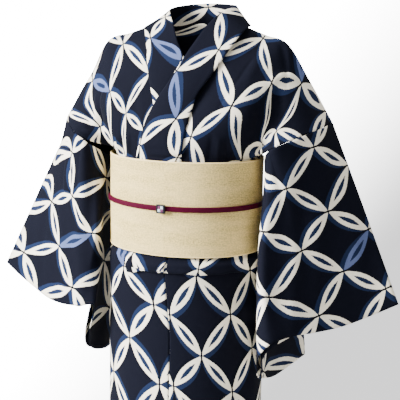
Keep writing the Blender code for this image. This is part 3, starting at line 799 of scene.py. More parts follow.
def body_steps(grid, low, side, nodes, lower_nodes):
    """Print steps of a width: across from its outer selvedge and along from the shoulder; the
    front of the bodice is read off its face, by x and by z + y / 2, and set on its nodes. The
    back takes up the front's shift at the shoulder, settles to its mean and runs on by height
    from under the obi."""
    top = low + len(BODICE_LEVELS) - 1
    along = arc(grid, 0)
    down = np.abs(along - along[top])
    down[top:] *= -1
    across = arc(grid, 1)
    across = across - across[:, -1:]
    steps = np.stack([across / WEFT_STEP, down / WARP_STEP], -1)
    front = grid[low - len(WAIST_HEIGHTS):top + 1]
    face = np.stack([front[..., 0] * side / WEFT_STEP, -(front[..., 2] + front[..., 1] / 2) / WARP_STEP], -1)
    placed = place_print(front, face, nodes)
    drift = placed[-1] - steps[top]
    steady = drift.mean(0)
    near = ease(1 - (along[top + 1:] - along[top]) / BACK_SETTLES)[..., None]
    steps[top + 1:] += steady + (drift - steady) * near
    fall = grid[-low:, :, 2]
    steps[-low:, :, 1] = steps[-low, :, 1].mean() + (fall - fall[0].mean()) / WARP_STEP
    steps[low - len(WAIST_HEIGHTS):top + 1] = placed
    return lower_steps(grid, steps, 1 + 0 * ACROSS, *lower_nodes) if lower_nodes else steps


def body_piece(name, side, material, node, folds, nodes, lower_nodes):
    """A body width, raised and sunk along its folds."""
    grid, low = body_grid(side)
    held = ease((1 - ACROSS) / 0.07)
    shape = with_folds(grid, outward(grid) * side * held[:, None], *folds)
    steps = body_steps(grid, low, side, nodes_on(shape, *nodes),
                       [nodes_on(shape, rows) for rows in lower_nodes])
    mesh = grid_mesh(name, shape, steps, flip=side > 0)
    return piece(name, mesh, material, CLOTH_WALL, node), armhole(shape, low)


def okumi_piece(name, side, material, node, folds, lower_nodes):
    """The narrow front panel beside the okumi seam, from under the obi to the hem."""
    left = side > 0
    seam = (OKUMI_SEAM - SEAM_ANGLE) * side
    lap, out = (SKIRT_LAP, LAP) if left else (0.0, 0.0)
    share = np.linspace(0, 1, 45)
    skirt_lean, tuck_lean = [rows * left * (1 - share) for rows in seam_lean()]
    lower = seam + ((OKUMI_EDGE if left else UNDER_OKUMI_EDGE) - seam) * share
    upper = seam + ((LEFT_OKUMI_TOP if left else RIGHT_OKUMI_TOP) - seam) * share
    hem = hem_height(lower)
    z = hem + (TUCK_TOP - 0.003 - hem) * SKIRT_ROWS[:-1, None]
    fold = left * ease((lower - TUCK_END + 2) / 4)
    folded = tuck(lower + tuck_lean, lap, out, fold)
    narrow = ease(np.linspace(0, 1, 5) / 0.8)[:, None]
    waist = on_ring(BODICE_RINGS, WAIST_HEIGHTS[:5, None] + 0 * upper,
                    lower + (upper - lower) * narrow + tuck_lean[-1:], out)
    grid = np.concatenate([on_ring(SKIRT_RINGS, z, lower + skirt_lean * side, lap), folded, waist])
    shape = with_folds(grid, outward(grid) * -side, *folds) if folds else grid
    steps = np.stack([arc(grid, 1) / WEFT_STEP, -grid[..., 2] / WARP_STEP], -1)
    if lower_nodes:
        steps = lower_steps(grid, steps, fold, *[nodes_on(shape, rows) for rows in lower_nodes])
        top = len(SKIRT_ROWS) + len(TUCK_ROWS) - 1
        risen = (grid[top - 1:top, :, 2] - grid[top:, :, 2]) / WARP_STEP
        steps[top:] = steps[top - 1] + np.stack([0 * risen, risen], -1)
    mesh = grid_mesh(name, shape, steps, flip=not left)
    return piece(name, mesh, material, CLOTH_WALL, node)


# ---- sleeves -----------------------------------------------------------------------------------
def armhole(body, low):
    """The armhole's edge on the front and on the back, by level from the shoulder down."""
    top = low + len(BODICE_LEVELS) - 1
    edge = np.abs(body[:, -1] * [1, 0, 0]) + body[:, -1] * [0, 1, 1]
    return edge[low:top + 1][::-1], edge[top:top + len(BODICE_LEVELS)]


def sewn(ring, drops, edge):
    """A sleeve's body end laid on the armhole down to 0.15 m, then easing to its own line."""
    levels = BODICE_LEVELS[::-1]
    at = np.minimum(drops / 0.05, 3)
    held = np.stack([np.interp(at, levels, edge[:, k]) for k in range(3)], -1) + [SEAM_GAP, 0, -SEAM_GAP]
    free = ease((drops - 0.15) / 0.035)[:, None]
    ring[:, :3] = held + (ring[:, :3] - held) * free
    return ring


def sleeve_grid(front, back, along, drops, edges):
    """Sections round a sleeve from the bottom seam up the front layer, over the top fold and
    down the back layer: cubic down the tables' rows, then cubic from body to cuff."""
    places = "bmc"
    front_rows = np.hstack([points(front, place) for place in places])
    up_front = smooth(front["drop"], front_rows, drops[::-1])
    lift = np.tile(LAYER_LIFT, len(places))
    apart = front["drop"] > 0.23
    tail = front_rows[apart] + lift
    tail[-1] = front_rows[-1]
    back_rows = np.vstack([tail[::-1], np.hstack([points(back, place) for place in places]), front_rows[:1]])
    back_drops = np.concatenate([front["drop"][apart][::-1], back["drop"], [0.0]])
    down_back = smooth(SLEEVE_DROP - back_drops, back_rows, SLEEVE_DROP - drops[1:-1])
    ring = np.vstack([sewn(up_front, drops[::-1], edges[0]), sewn(down_back, drops[1:-1], edges[1])])
    stack = ring.reshape(len(ring), 3, 3).transpose(1, 0, 2).reshape(3, -1)
    return smooth([0.0, 0.5, 1.0], stack, along).reshape(len(along), len(ring), 3)


def sleeve_piece(name, side, material, node, folds, nodes, start, edges):
    """A folded width of cloth as a flat tube, raised and sunk along its folds."""
    front, back = ((LEFT_SLEEVE_FRONT, LEFT_SLEEVE_BACK) if side > 0
                   else (RIGHT_SLEEVE_FRONT, RIGHT_SLEEVE_BACK))
    drops = np.linspace(0, SLEEVE_DROP, 90)
    grid = sleeve_grid(front, back, np.linspace(0, 1, 70), drops, edges) * np.array([side, 1, 1])
    shape = with_folds(grid, outward(grid, closed=True) * -side, *folds, closed=True)
    looped = np.concatenate([grid, grid[:, :1]], 1)
    fold_at = len(drops) - 1
    round_it = arc(looped, 1)
    down = round_it[:, fold_at:fold_at + 1] - round_it
    along = arc(looped, 0)
    rough = np.stack([(along - start) / WEFT_STEP, down / WARP_STEP], -1)
    steps = place_print(looped[:, :fold_at + 1], rough[:, :fold_at + 1], nodes_on(shape, *nodes, closed=True))
    shift = steps[:, -1:] - rough[:, fold_at:fold_at + 1]
    behind = rough[:, fold_at + 1:] + shift
    if side > 0:
        inside = nodes_on(shape, SLEEVE_LEFT_INSIDE, closed=True)
        placed = place_print(looped[:, fold_at + 1:], behind, inside, INSIDE_REACH)
        low = ease((-0.27 - looped[:, fold_at + 1:, 2]) / 0.12)[..., None]
        behind = behind + (placed - behind) * low
    steps = np.concatenate([steps, behind], 1)
    mesh = grid_mesh(name, shape, steps, closed=True, flip=side < 0)
    return piece(name, mesh, material, CLOTH_WALL, node)


# ---- collar ------------------------------------------------------------------------------------
def collar_piece(name, material, node, folds, nodes):
    """A folded band: sections from its seam to its folded edge, cubic along its length."""
    share = np.linspace(0, 1, 5)
    left, right = [on_ring(BODICE_RINGS, rows["z"][:, None] + 0 * share,
                           rows["seam"][:, None] + (rows["edge"] - rows["seam"])[:, None] * share,
                           lift + rows["out"][:, None])
                   for rows, lift in ((COLLAR_LEFT_DOWN, LAP + COLLAR_LIFT), (COLLAR_RIGHT_DOWN, COLLAR_LIFT))]
    seam, edge = points(COLLAR_BODICE, "s")[:, None], points(COLLAR_BODICE, "e")[:, None]
    part = share[None, :, None]
    neck = seam + (edge - seam) * part
    neck = neck - 4 * part * (1 - part) * COLLAR_CROWN * ease((-0.03 - neck[..., 2:]) / 0.10) * [0, 1, 0]
    rows = np.concatenate([left, neck, right])
    n = len(rows)
    long = smooth(np.arange(n), rows.reshape(n, -1), np.linspace(0, n - 1, 330)).reshape(330, 5, 3)
    wide = smooth(np.linspace(0, 1, 5), long.transpose(1, 0, 2).reshape(5, -1), np.linspace(0, 1, 25))
    grid = wide.reshape(25, 330, 3).transpose(1, 0, 2)
    middle = arc(grid, 0)[:, 12:13] + 0 * grid[..., 0]
    over = arc(grid, 1)
    from_edge = np.minimum(over, over[:, -1:] - over)
    rolled = COLLAR_ROLL * np.exp(-(from_edge / 0.0024) ** 2) * ease((-0.02 - grid[..., 2]) / 0.03)
    shape = with_folds(grid, -outward(grid), folds) + outward(grid) * rolled[..., None]
    rough = np.stack([over / WEFT_STEP, middle / WARP_STEP], -1)
    mesh = grid_mesh(name, shape, place_print(grid, rough, nodes_on(shape, nodes)), flip=True)
    return piece(name, mesh, material, COLLAR_WALL, node)


# ---- obi, cord and clasp -----------------------------------------------------------------------
def belt(heights, lift, count):
    """Closed ellipses on the obi's outer face at each row's height, moved out by its lift."""
    angles = np.linspace(0, 2 * np.pi, count, endpoint=False)[None, :]
    x = (OBI_HALF_WIDTH + lift) * np.sin(angles)
    y = OBI_CENTRE_Y - (OBI_HALF_DEPTH + lift) * np.cos(angles)
    return np.stack(np.broadcast_arrays(x, y, heights), axis=-1)


def lengths(grid):
    """Running lengths round and along a closed belt, with the closing column, in metres."""
    looped = np.concatenate([grid, grid[:, :1]], 1)
    return np.stack([arc(looped, 1), arc(looped, 0)], -1)


def obi_band(name, material):
    """The band round the waist, a ring of its own height with soft rolled edges."""
    heights = np.linspace(OBI_TOP, OBI_BOTTOM, 109)[:, None]
    from_edge = np.minimum(OBI_TOP - heights, heights - OBI_BOTTOM)
    grid = belt(heights, EDGE_ROLL * np.exp(-(from_edge / 0.0022) ** 2) - OBI_WALL / 2, 240)
    mesh = grid_mesh(name, grid, lengths(grid), closed=True)
    return piece(name, mesh, material, OBI_WALL, "obi_band")


def obi_fold(name, material):
    """The obi's end folded flat against its back, held under the cord."""
    lift = BACK_FOLD_WALL / 2 + OBI_GAP
    heights = np.linspace(OBI_TOP - 0.004, OBI_BOTTOM + 0.004, 31)[:, None]
    turn = np.arcsin(np.linspace(-1, 1, 61)[None, :] * BACK_FOLD_HALF_WIDTH / (OBI_HALF_WIDTH + lift))
    x = (OBI_HALF_WIDTH + lift) * np.sin(turn)
    y = OBI_CENTRE_Y + (OBI_HALF_DEPTH + lift) * np.cos(turn)
    grid = np.stack(np.broadcast_arrays(x, y, heights), axis=-1)
    steps = np.stack([arc(grid, 1), arc(grid, 0)], -1)
    mesh = grid_mesh(name, grid, steps, flip=True)
    return piece(name, mesh, material, BACK_FOLD_WALL, "obi_back_fold")


def waist_cord(name, material):
    """The obijime: a flat braid round the obi, its section a rounded bar."""
    angles = np.linspace(0, 2 * np.pi, 420, endpoint=False)[:, None]
    behind = ease((-np.cos(angles) - 0.55) / 0.22)
    lift = CORD_WALL / 2 + OBI_GAP + behind * (BACK_FOLD_WALL + CORD_GAP)
    turn = np.linspace(0, 2 * np.pi, 24, endpoint=False)[None, :]
    bar = lambda wave: np.sign(wave) * np.abs(wave) ** 0.45
    out = lift + bar(np.cos(turn)) * CORD_WALL / 2
    z = CORD_HEIGHT + bar(np.sin(turn)) * CORD_WIDTH / 2 + 0 * angles
    grid = np.stack([(OBI_HALF_WIDTH + out) * np.sin(angles),
                     OBI_CENTRE_Y - (OBI_HALF_DEPTH + out) * np.cos(angles), z], -1)
    grid = np.concatenate([grid, grid[:1]])
    mesh = grid_mesh(name, grid, lengths(grid), closed=True, flip=True)
    return piece(name, mesh, material, 0, "obijime")


def clasp(name, metal, pale, dark):
    """The obidome: a square frame of four mitred bars round four cut stones, two pale and two painted plum as a
    reflection of the cord.
    """
    half, bar, deep = BEAD_SIZE / 2, 0.0022, BEAD_DEPTH
    bevel_low, bevel_high, sunk, proud = 0.0006, 0.0008, 0.0012, 0.0002
    angle = np.radians(BEAD_ANGLE)
    away = OBI_GAP + CORD_WALL + CLASP_GAP
    outline = np.array([(1, 1), (-1, 1), (-1, -1), (1, -1)], float)
    ring = lambda size, depth: np.c_[outline[:, 0] * size, -depth * np.ones(4), outline[:, 1] * size]
    rounds = [ring(half - bevel_low, 0), ring(half, bevel_low), ring(half, deep - bevel_high),
              ring(half - bevel_high, deep), ring(half - bar, deep), ring(half - bar, deep - sunk)]
    verts = np.concatenate(rounds)
    faces = [[4 * r + k, 4 * r + (k + 1) % 4, 4 * r + 4 + (k + 1) % 4, 4 * r + 4 + k]
             for r in range(5) for k in range(4)] + [[3, 2, 1, 0]]
    inner = half - bar
    for column in (-1, 1):
        for row in (-1, 1):
            base = len(verts)
            centre = np.array([column * inner / 2, 0, row * inner / 2])
            low, high = [ring(size, depth) + centre
                         for size, depth in ((inner / 2, deep - sunk), (inner / 4.2, deep - proud))]
            verts = np.concatenate([verts, low, high])
            faces += [[base + k, base + (k + 1) % 4, base + 4 + (k + 1) % 4, base + 4 + k] for k in range(4)]
            faces.append([base + 4, base + 5, base + 6, base + 7])
    seat = np.array([(OBI_HALF_WIDTH + away) * np.sin(angle),
                     OBI_CENTRE_Y - (OBI_HALF_DEPTH + away) * np.cos(angle), CORD_HEIGHT])
    turn = np.array([[np.cos(angle), -np.sin(angle), 0], [np.sin(angle), np.cos(angle), 0], [0, 0, 1]])
    mesh = bpy.data.meshes.new(name)
    mesh.from_pydata((verts @ turn.T + seat).tolist(), [], faces)
    mesh.update()
    stones = np.repeat([0, 1, 2, 2, 1], [len(faces) - 20, 5, 5, 5, 5]).astype(np.int32)
    mesh.polygons.foreach_set("material_index", stones)
    thing = piece(name, mesh, metal, 0, "obidome")
    mesh.materials.append(pale)
    mesh.materials.append(dark)
    return thing


# ---- finishes ------------------------------------------------------------------------------------
def plain(name, colour, rough=0.8, metal=0.0):
    """A finish of one colour."""
    material = bpy.data.materials.new(name)
    material.use_nodes = True
    shader = material.node_tree.nodes["Principled BSDF"]
    shader.inputs["Base Color"].default_value = (*colour, 1)
    shader.inputs["Roughness"].default_value = rough
    shader.inputs["Metallic"].default_value = metal
    return material


class Nodes:
    """A node tree with short calls: math, mixing and inputs, each giving back its output."""

    def __init__(self, tree):
        self.tree = tree

    def node(self, kind, **fields):
        made = self.tree.nodes.new(kind)
        for key, value in fields.items():
            setattr(made, key, value)
        return made

    def feed(self, socket, value):
        if isinstance(value, bpy.types.NodeSocket):
            self.tree.links.new(value, socket)
        else:
            socket.default_value = value

    def math(self, operation, *values, clamp=False):
        made = self.node("ShaderNodeMath", operation=operation, use_clamp=clamp)
        for socket, value in zip(made.inputs, values):
            self.feed(socket, value)
        return made.outputs[0]

    def mix(self, share, below, above):
        made = self.node("ShaderNodeMix", data_type="RGBA")
        self.feed(made.inputs["Factor"], share)
        for name, value in (("A", below), ("B", above)):
            socket = next(s for s in made.inputs if s.name == name and s.type == "RGBA")
            self.feed(socket, value if isinstance(value, bpy.types.NodeSocket) else (*value, 1))
        return next(s for s in made.outputs if s.type == "RGBA")

    def step(self, value, edge, soft):
        """0 below the edge and 1 above it, over a soft width."""
        made = self.node("ShaderNodeMapRange", interpolation_type="SMOOTHSTEP")
        self.feed(made.inputs["Value"], value)
        self.feed(made.inputs["From Min"], edge - soft)
        self.feed(made.inputs["From Max"], edge + soft)
        return made.outputs[0]

    def split(self, vector):
        made = self.node("ShaderNodeSeparateXYZ")
        self.feed(made.inputs[0], vector)
        return made.outputs[0], made.outputs[1], made.outputs[2]

    def join(self, x, y, z):
        made = self.node("ShaderNodeCombineXYZ")
        for socket, value in zip(made.inputs, (x, y, z)):
            self.feed(socket, value)
        return made.outputs[0]

    def scaled(self, vector, by):
        made = self.node("ShaderNodeMapping")
        self.feed(made.inputs["Vector"], vector)
        made.inputs["Scale"].default_value = by
        return made.outputs[0]

    def noise(self, vector, scale, detail=2.0, rough=0.5):
        made = self.node("ShaderNodeTexNoise")
        self.feed(made.inputs["Vector"], vector)
        made.inputs["Scale"].default_value = scale
        made.inputs["Detail"].default_value = detail
        made.inputs["Roughness"].default_value = rough
        return made.outputs[0]

    def group(self, tree, **values):
        made = self.node("ShaderNodeGroup", node_tree=tree)
        for name, value in values.items():
            self.feed(made.inputs[name.replace("_", " ")], value)
        return made.outputs


def new_group(name, inputs, outputs):
    """An empty node group with its sockets: its tree, its inputs and its closing node."""
    tree = bpy.data.node_groups.new(name, "ShaderNodeTree")
    for direction, sockets in (("INPUT", inputs), ("OUTPUT", outputs)):
        for socket, kind in sockets.items():
            tree.interface.new_socket(socket, in_out=direction, socket_type="NodeSocket" + kind)
    nodes = Nodes(tree)
    return nodes, nodes.node("NodeGroupInput").outputs, nodes.node("NodeGroupOutput").inputs


def petal_group():
    """One petal in each cell of the print, its tips on the cell's corners whose steps add up
    to an even number: |w| < half width * (1 - (t / half length)^2), with t along the petal
    and w across it, both in centimetres, and short of the cell's sides, which leaves a thin
    dark line between the tips."""
    n, given, result = new_group("petal_cell", {"Print": "Vector"},
                                 {"Edge": "Float", "Sliver": "Float", "Cell": "Vector"})
    a, b, _ = n.split(given["Print"])
    ia, ib = n.math("FLOOR", a), n.math("FLOOR", b)
    odd = n.math("FLOORED_MODULO", n.math("ADD", ia, ib), 2.0)
    turned = n.math("SUBTRACT", 1.0, n.math("MULTIPLY", odd, 2.0))
    x = n.math("MULTIPLY", n.math("MULTIPLY", n.math("SUBTRACT", n.math("SUBTRACT", a, ia), 0.5), turned),
               WEFT_STEP * 100)
    y = n.math("MULTIPLY", n.math("SUBTRACT", n.math("SUBTRACT", b, ib), 0.5), WARP_STEP * 100)
    diagonal = (WEFT_STEP ** 2 + WARP_STEP ** 2) ** 0.5
    c, s = WEFT_STEP / diagonal, WARP_STEP / diagonal
    t = n.math("ADD", n.math("MULTIPLY", x, c), n.math("MULTIPLY", y, s))
    w = n.math("ABSOLUTE", n.math("SUBTRACT", n.math("MULTIPLY", x, s), n.math("MULTIPLY", y, c)))

    def leaf(half_length, half_width):
        share = n.math("DIVIDE", t, half_length)
        bow = n.math("SUBTRACT", 1.0, n.math("MULTIPLY", share, share), clamp=True)
        return n.math("SUBTRACT", n.math("MULTIPLY", bow, half_width), w)

    beside = n.math("SUBTRACT", WEFT_STEP * 50 - 0.16, n.math("ABSOLUTE", x))
    above = n.math("SUBTRACT", WARP_STEP * 50 - 0.12, n.math("ABSOLUTE", y))
    n.feed(result["Edge"], n.math("MINIMUM", leaf(4.40, 1.10), n.math("MINIMUM", beside, above)))
    end = n.math("SUBTRACT", 1.2, n.math("MULTIPLY", n.math("ABSOLUTE", t), 0.5))
    n.feed(result["Sliver"], n.math("MINIMUM", leaf(2.35, 0.38), end))
    n.feed(result["Cell"], n.join(ia, ib, 0.0))
    return n.tree


def print_group(petal_cell):
    """The cloth's print: a cream petal with a blue sliver, over a blue petal shifted along the
    warp, with edges that waver as dye does; masks from 0 to 1."""
    n, given, result = new_group("linked_petals", {"Print": "Vector", "Shift": "Float", "Waver": "Float"},
                                 {"Petal": "Float", "Shadow": "Float", "Sliver": "Float", "Cell": "Vector"})
    petal = n.group(petal_cell, Print=given["Print"])
    a, b, _ = n.split(given["Print"])
    shadow = n.group(petal_cell, Print=n.join(a, n.math("SUBTRACT", b, given["Shift"]), 0.0))
    waver = given["Waver"]
    n.feed(result["Petal"], n.step(n.math("ADD", petal["Edge"], waver), 0.0, 0.035))
    n.feed(result["Shadow"], n.step(n.math("ADD", shadow["Edge"], n.math("MULTIPLY", waver, 1.4)), 0.0, 0.05))
    sliver = n.math("ADD", petal["Sliver"], n.math("MULTIPLY", waver, 1.6))
    n.feed(result["Sliver"], n.step(sliver, 0.0, 0.035))
    n.feed(result["Cell"], petal["Cell"])
    return n.tree


def weave_group():
    """Plain cotton weave: threads across and along, each a sine of its own steps, some thicker."""
    n, given, result = new_group("cotton_weave", {"Print": "Vector"}, {"Height": "Float", "Slub": "Float"})
    a, b, _ = n.split(given["Print"])
    x, y = n.math("MULTIPLY", a, WEFT_STEP * 1000), n.math("MULTIPLY", b, WARP_STEP * 1000)
    weft = n.noise(n.join(n.math("MULTIPLY", x, 0.06), n.math("MULTIPLY", y, 1.3), 0.0), 1.0, 2.0)
    warp = n.noise(n.join(n.math("MULTIPLY", x, 1.3), n.math("MULTIPLY", y, 0.05), 3.0), 1.0, 2.0)
    waves = [n.math("SINE", n.math("MULTIPLY", along, 9.0)) for along in (x, y)]
    threads = n.math("ADD", *waves)
    slub = n.math("ADD", weft, warp)
    n.feed(result["Height"], n.math("ADD", slub, n.math("MULTIPLY", threads, 0.12)))
    n.feed(result["Slub"], n.math("MULTIPLY", slub, 0.5))
    return n.tree


PETAL_CELL = petal_group()
LINKED_PETALS = print_group(PETAL_CELL)
COTTON_WEAVE = weave_group()
NAVY = (0.0036, 0.0042, 0.0088)
SHADOW_BLUE = (0.0100, 0.0172, 0.046)
CREAM = (0.92, 0.85, 0.69)
PERIWINKLE = (0.088, 0.115, 0.235)
LINEN = (0.76, 0.580, 0.215)
LINEN_DEEP = (0.40, 0.300, 0.110)
LINEN_PALE = (0.88, 0.67, 0.31)
PLUM = (0.066, 0.0003, 0.016)
PLUM_DEEP = (0.040, 0.0006, 0.009)


def cotton(name, shift, tinted):
    """Printed cotton: the linked petals in cream, blue and navy, a few petals tinted."""
    material = plain(name, NAVY, 0.82)
    shader = material.node_tree.nodes["Principled BSDF"]
    n = Nodes(material.node_tree)
    where = n.node("ShaderNodeUVMap", uv_map="print").outputs[0]
    waver = n.math("MULTIPLY", n.math("SUBTRACT", n.noise(where, 22.0, 3.0, 0.7), 0.5), 0.22)
    ink = n.group(LINKED_PETALS, Print=where, Shift=shift, Waver=waver)
    cloth = n.group(COTTON_WEAVE, Print=where)
    ia, ib, _ = n.split(ink["Cell"])
    chosen = 0.0
    for across, down in tinted:
        hit = n.math("MULTIPLY", n.math("COMPARE", ia, float(across), 0.1),
                     n.math("COMPARE", ib, float(down), 0.1))
        chosen = n.math("ADD", chosen, hit)
    pale = n.mix(chosen, CREAM, PERIWINKLE)
    colour = n.mix(ink["Shadow"], NAVY, SHADOW_BLUE)
    colour = n.mix(ink["Petal"], colour, n.mix(ink["Sliver"], pale, SHADOW_BLUE))
    shade = n.node("ShaderNodeHueSaturation")
    n.feed(shade.inputs["Color"], colour)
    n.feed(shade.inputs["Value"], n.math("ADD", 0.72, n.math("MULTIPLY", cloth["Slub"], 0.56)))
    n.feed(shader.inputs["Base Color"], shade.outputs[0])
    bump = n.node("ShaderNodeBump")
    bump.inputs["Strength"].default_value = 0.25
    bump.inputs["Distance"].default_value = 0.0006
    n.feed(bump.inputs["Height"], cloth["Height"])
    n.feed(shader.inputs["Normal"], bump.outputs[0])
    shader.inputs["Specular IOR Level"].default_value = 0.04
    return material




def linen_canvas(name):
    """Undyed linen: uneven threads both ways over a fine check, and its rolled edges paled by a painted
    highlight.
    """
    material = plain(name, LINEN, 0.85)
    shader = material.node_tree.nodes["Principled BSDF"]
    n = Nodes(material.node_tree)
    round_it, up, _ = n.split(n.node("ShaderNodeUVMap", uv_map="print").outputs[0])
    x, y = n.math("MULTIPLY", round_it, 1000.0), n.math("MULTIPLY", up, 1000.0)
    weft = n.noise(n.join(n.math("MULTIPLY", x, 0.045), n.math("MULTIPLY", y, 0.85), 0.0), 1.0, 3.0, 0.6)
    warp = n.noise(n.join(n.math("MULTIPLY", x, 0.95), n.math("MULTIPLY", y, 0.050), 5.0), 1.0, 3.0, 0.6)
    waves = [n.math("SINE", n.math("MULTIPLY", along, 3.1)) for along in (x, y)]
    check = n.math("MULTIPLY", *waves)
    speck = n.noise(n.join(n.math("MULTIPLY", x, 0.36), n.math("MULTIPLY", y, 0.42), 7.0), 1.0, 1.0)
    blotch = n.noise(n.join(n.math("MULTIPLY", x, 0.012), n.math("MULTIPLY", y, 0.05), 9.0), 1.0, 2.0)
    thread = n.math("ADD", n.math("ADD", n.math("MULTIPLY", weft, 1.1), n.math("MULTIPLY", warp, 0.8)),
                    n.math("ADD", n.math("MULTIPLY", check, 0.10), n.math("MULTIPLY", n.math("SUBTRACT", speck, 0.5), 1.5)))
    colour = n.mix(n.step(thread, 0.95, 0.42), LINEN_DEEP, LINEN)
    colour = n.mix(n.math("MULTIPLY", n.step(blotch, 0.5, 0.2), 0.35), colour, LINEN_PALE)
    # Painted highlight: within about 1.6 mm of the cloth's top and bottom edges the linen pales to LINEN_PALE,
    # as if the rolled edges caught the light.
    from_edge = n.math("MINIMUM", y, n.math("SUBTRACT", (OBI_TOP - OBI_BOTTOM) * 1000, y))
    colour = n.mix(n.math("SUBTRACT", 1.0, n.step(from_edge, 1.6, 0.7)), colour, LINEN_PALE)
    n.feed(shader.inputs["Base Color"], colour)
    bump = n.node("ShaderNodeBump")
    bump.inputs["Strength"].default_value = 0.5
    bump.inputs["Distance"].default_value = 0.0006
    n.feed(bump.inputs["Height"], thread)
    n.feed(shader.inputs["Normal"], bump.outputs[0])
    shader.inputs["Specular IOR Level"].default_value = 0.2
    return material


def braided_silk(name):
    """Plum silk braid: plaits slanting in from both edges to a middle line, softly shining, with painted light
    on the plaits and painted shade between them and along the middle line.
    """
    material = plain(name, PLUM, 0.5)
    shader = material.node_tree.nodes["Principled BSDF"]
    n = Nodes(material.node_tree)
    across, along, _ = n.split(n.node("ShaderNodeUVMap", uv_map="print").outputs[0])
    side = n.math("PINGPONG", n.math("MULTIPLY", across, 1000.0), CORD_WIDTH * 500)
    slant = n.math("ADD", n.math("MULTIPLY", along, 2800.0), n.math("MULTIPLY", side, 1.6))
    plait = n.math("MULTIPLY", n.math("ADD", n.math("SINE", slant), 1.0), 0.5)
    groove = n.step(side, 0.35, 0.3)
    thread = n.noise(n.join(n.math("MULTIPLY", slant, 1.5), n.math("MULTIPLY", side, 9.0), 0.0), 1.0, 2.0)
    # Painted light and shade: the plaits' tops take PLUM, and the grooves between them and along the middle line
    # take PLUM_DEEP; the threads' own tone varies both.
    plait_painted_light_and_thread_tone = n.math("MULTIPLY", n.math("MULTIPLY", plait, groove),
                 n.math("ADD", 0.6, n.math("MULTIPLY", thread, 0.6)))
    n.feed(shader.inputs["Base Color"], n.mix(plait_painted_light_and_thread_tone, PLUM_DEEP, PLUM))
    bump = n.node("ShaderNodeBump")
    bump.inputs["Strength"].default_value = 0.5
    bump.inputs["Distance"].default_value = 0.0005
    n.feed(bump.inputs["Height"], n.math("MULTIPLY", plait, groove))
    n.feed(shader.inputs["Normal"], bump.outputs[0])
    shader.inputs["Specular IOR Level"].default_value = 0.06
    return material


def clouded(name, colour, second, rough, metal, grain):
    """A hard finish whose colour and roughness cloud softly between two tones."""
    material = plain(name, colour, rough, metal)
    shader = material.node_tree.nodes["Principled BSDF"]
    n = Nodes(material.node_tree)
    cloud = n.noise(n.node("ShaderNodeTexCoord").outputs["Object"], grain, 3.0)
    n.feed(shader.inputs["Base Color"], n.mix(n.step(cloud, 0.5, 0.15), colour, second))
    n.feed(shader.inputs["Roughness"], n.math("ADD", rough, n.math("MULTIPLY", cloud, 0.12)))
    return material


linen = linen_canvas("linen_canvas")
silk = braided_silk("plum_silk_braid")
steel = clouded("dark_steel", (0.030, 0.034, 0.040), (0.055, 0.062, 0.066), 0.28, 1.0, 900.0)
pale_stone = clouded("pale_cut_stone", (0.66, 0.80, 0.82), (0.42, 0.50, 0.62), 0.10, 0.0, 500.0)
# Painted reflection: the clasp's two plum stones stand for the cord's plum seen in their facets.
cord_reflection_stone = clouded("cut_stone_painted_cord_reflection", (0.105, 0.018, 0.070), (0.22, 0.09, 0.17), 0.12, 0.0, 500.0)

body_left, left_armhole = body_piece(
    "yukata_body_left", 1, cotton("cotton_body_left", 0.155, [(1, -3)]), "body_left",
    (BODY_LEFT_FOLDS, BODY_LEFT_HIDDEN_FOLDS), (BODY_LEFT_PRINT, BODY_LEFT_UNSEEN),
    (SKIRT_LEFT_PRINT, TUCK_LEFT_PRINT))
body_right, right_armhole = body_piece(
    "yukata_body_right", -1, cotton("cotton_body_right", -0.155, [(1, 0)]), "body_right",
    (BODY_RIGHT_FOLDS, BODY_RIGHT_HIDDEN_FOLDS), (BODY_RIGHT_PRINT, BODY_RIGHT_UNSEEN), ())
okumi_left = okumi_piece(
    "yukata_okumi_left", 1, cotton("cotton_okumi_left", -0.155, [(0, -1)]), "okumi_left",
    (OKUMI_FOLDS, OKUMI_HIDDEN_FOLDS), (OKUMI_LEFT_PRINT, OKUMI_TUCK_PRINT))
okumi_right = okumi_piece(
    "yukata_okumi_right", -1, cotton("cotton_okumi_right", 0.155, [(0, 12)]), "okumi_right", (), ())
sleeve_left = sleeve_piece(
    "yukata_sleeve_left", 1, cotton("cotton_sleeve_left", 0.155, [(2, 0)]), "sleeve_left",
    (LEFT_SLEEVE_FOLDS, LEFT_SLEEVE_HIDDEN_FOLDS), (SLEEVE_LEFT_PRINT, SLEEVE_LEFT_UNSEEN),
    0.077, left_armhole)
sleeve_right = sleeve_piece(
    "yukata_sleeve_right", -1, cotton("cotton_sleeve_right", -0.155, [(-1, 0)]), "sleeve_right",
    (RIGHT_SLEEVE_FOLDS, RIGHT_SLEEVE_HIDDEN_FOLDS), (SLEEVE_RIGHT_PRINT,), 0.245, right_armhole)
collar = collar_piece(
    "yukata_collar", cotton("cotton_collar", 0.155, [(0, 0), (0, 8)]), "collar", COLLAR_FOLDS, COLLAR_PRINT)
obi = obi_band("obi_band_linen", linen)
obi_end = obi_fold("obi_end_linen", linen)
waist_cord("obijime_braid", silk)
clasp("obidome_clasp", steel, pale_stone, cord_reflection_stone)

FLOOR_RADIUS = 1.15
FLOOR_HEIGHT = -1.275
FILL_LIGHT = 0.74
SWEEP_LIGHT = 24.0
SWEEP_BRIGHT = (1.0, 1.0, 1.0)
SWEEP_SHADED = (0.058, 0.058, 0.0586)

# ---- floor, light and camera -----------------------------------------------------------------------
floor_mesh = bpy.data.meshes.new("studio_floor")
floor_turn = np.linspace(0, 2 * np.pi, 96, endpoint=False)
floor_mesh.from_pydata(np.c_[FLOOR_RADIUS * np.cos(floor_turn), FLOOR_RADIUS * np.sin(floor_turn),
                             np.full(96, FLOOR_HEIGHT)].tolist(), [], [list(range(96))])
floor = bpy.data.objects.new("studio_floor", floor_mesh)
floor_mesh.materials.append(plain("studio_paper", (0.85, 0.85, 0.85), 0.9))
bpy.context.scene.collection.objects.link(floor)
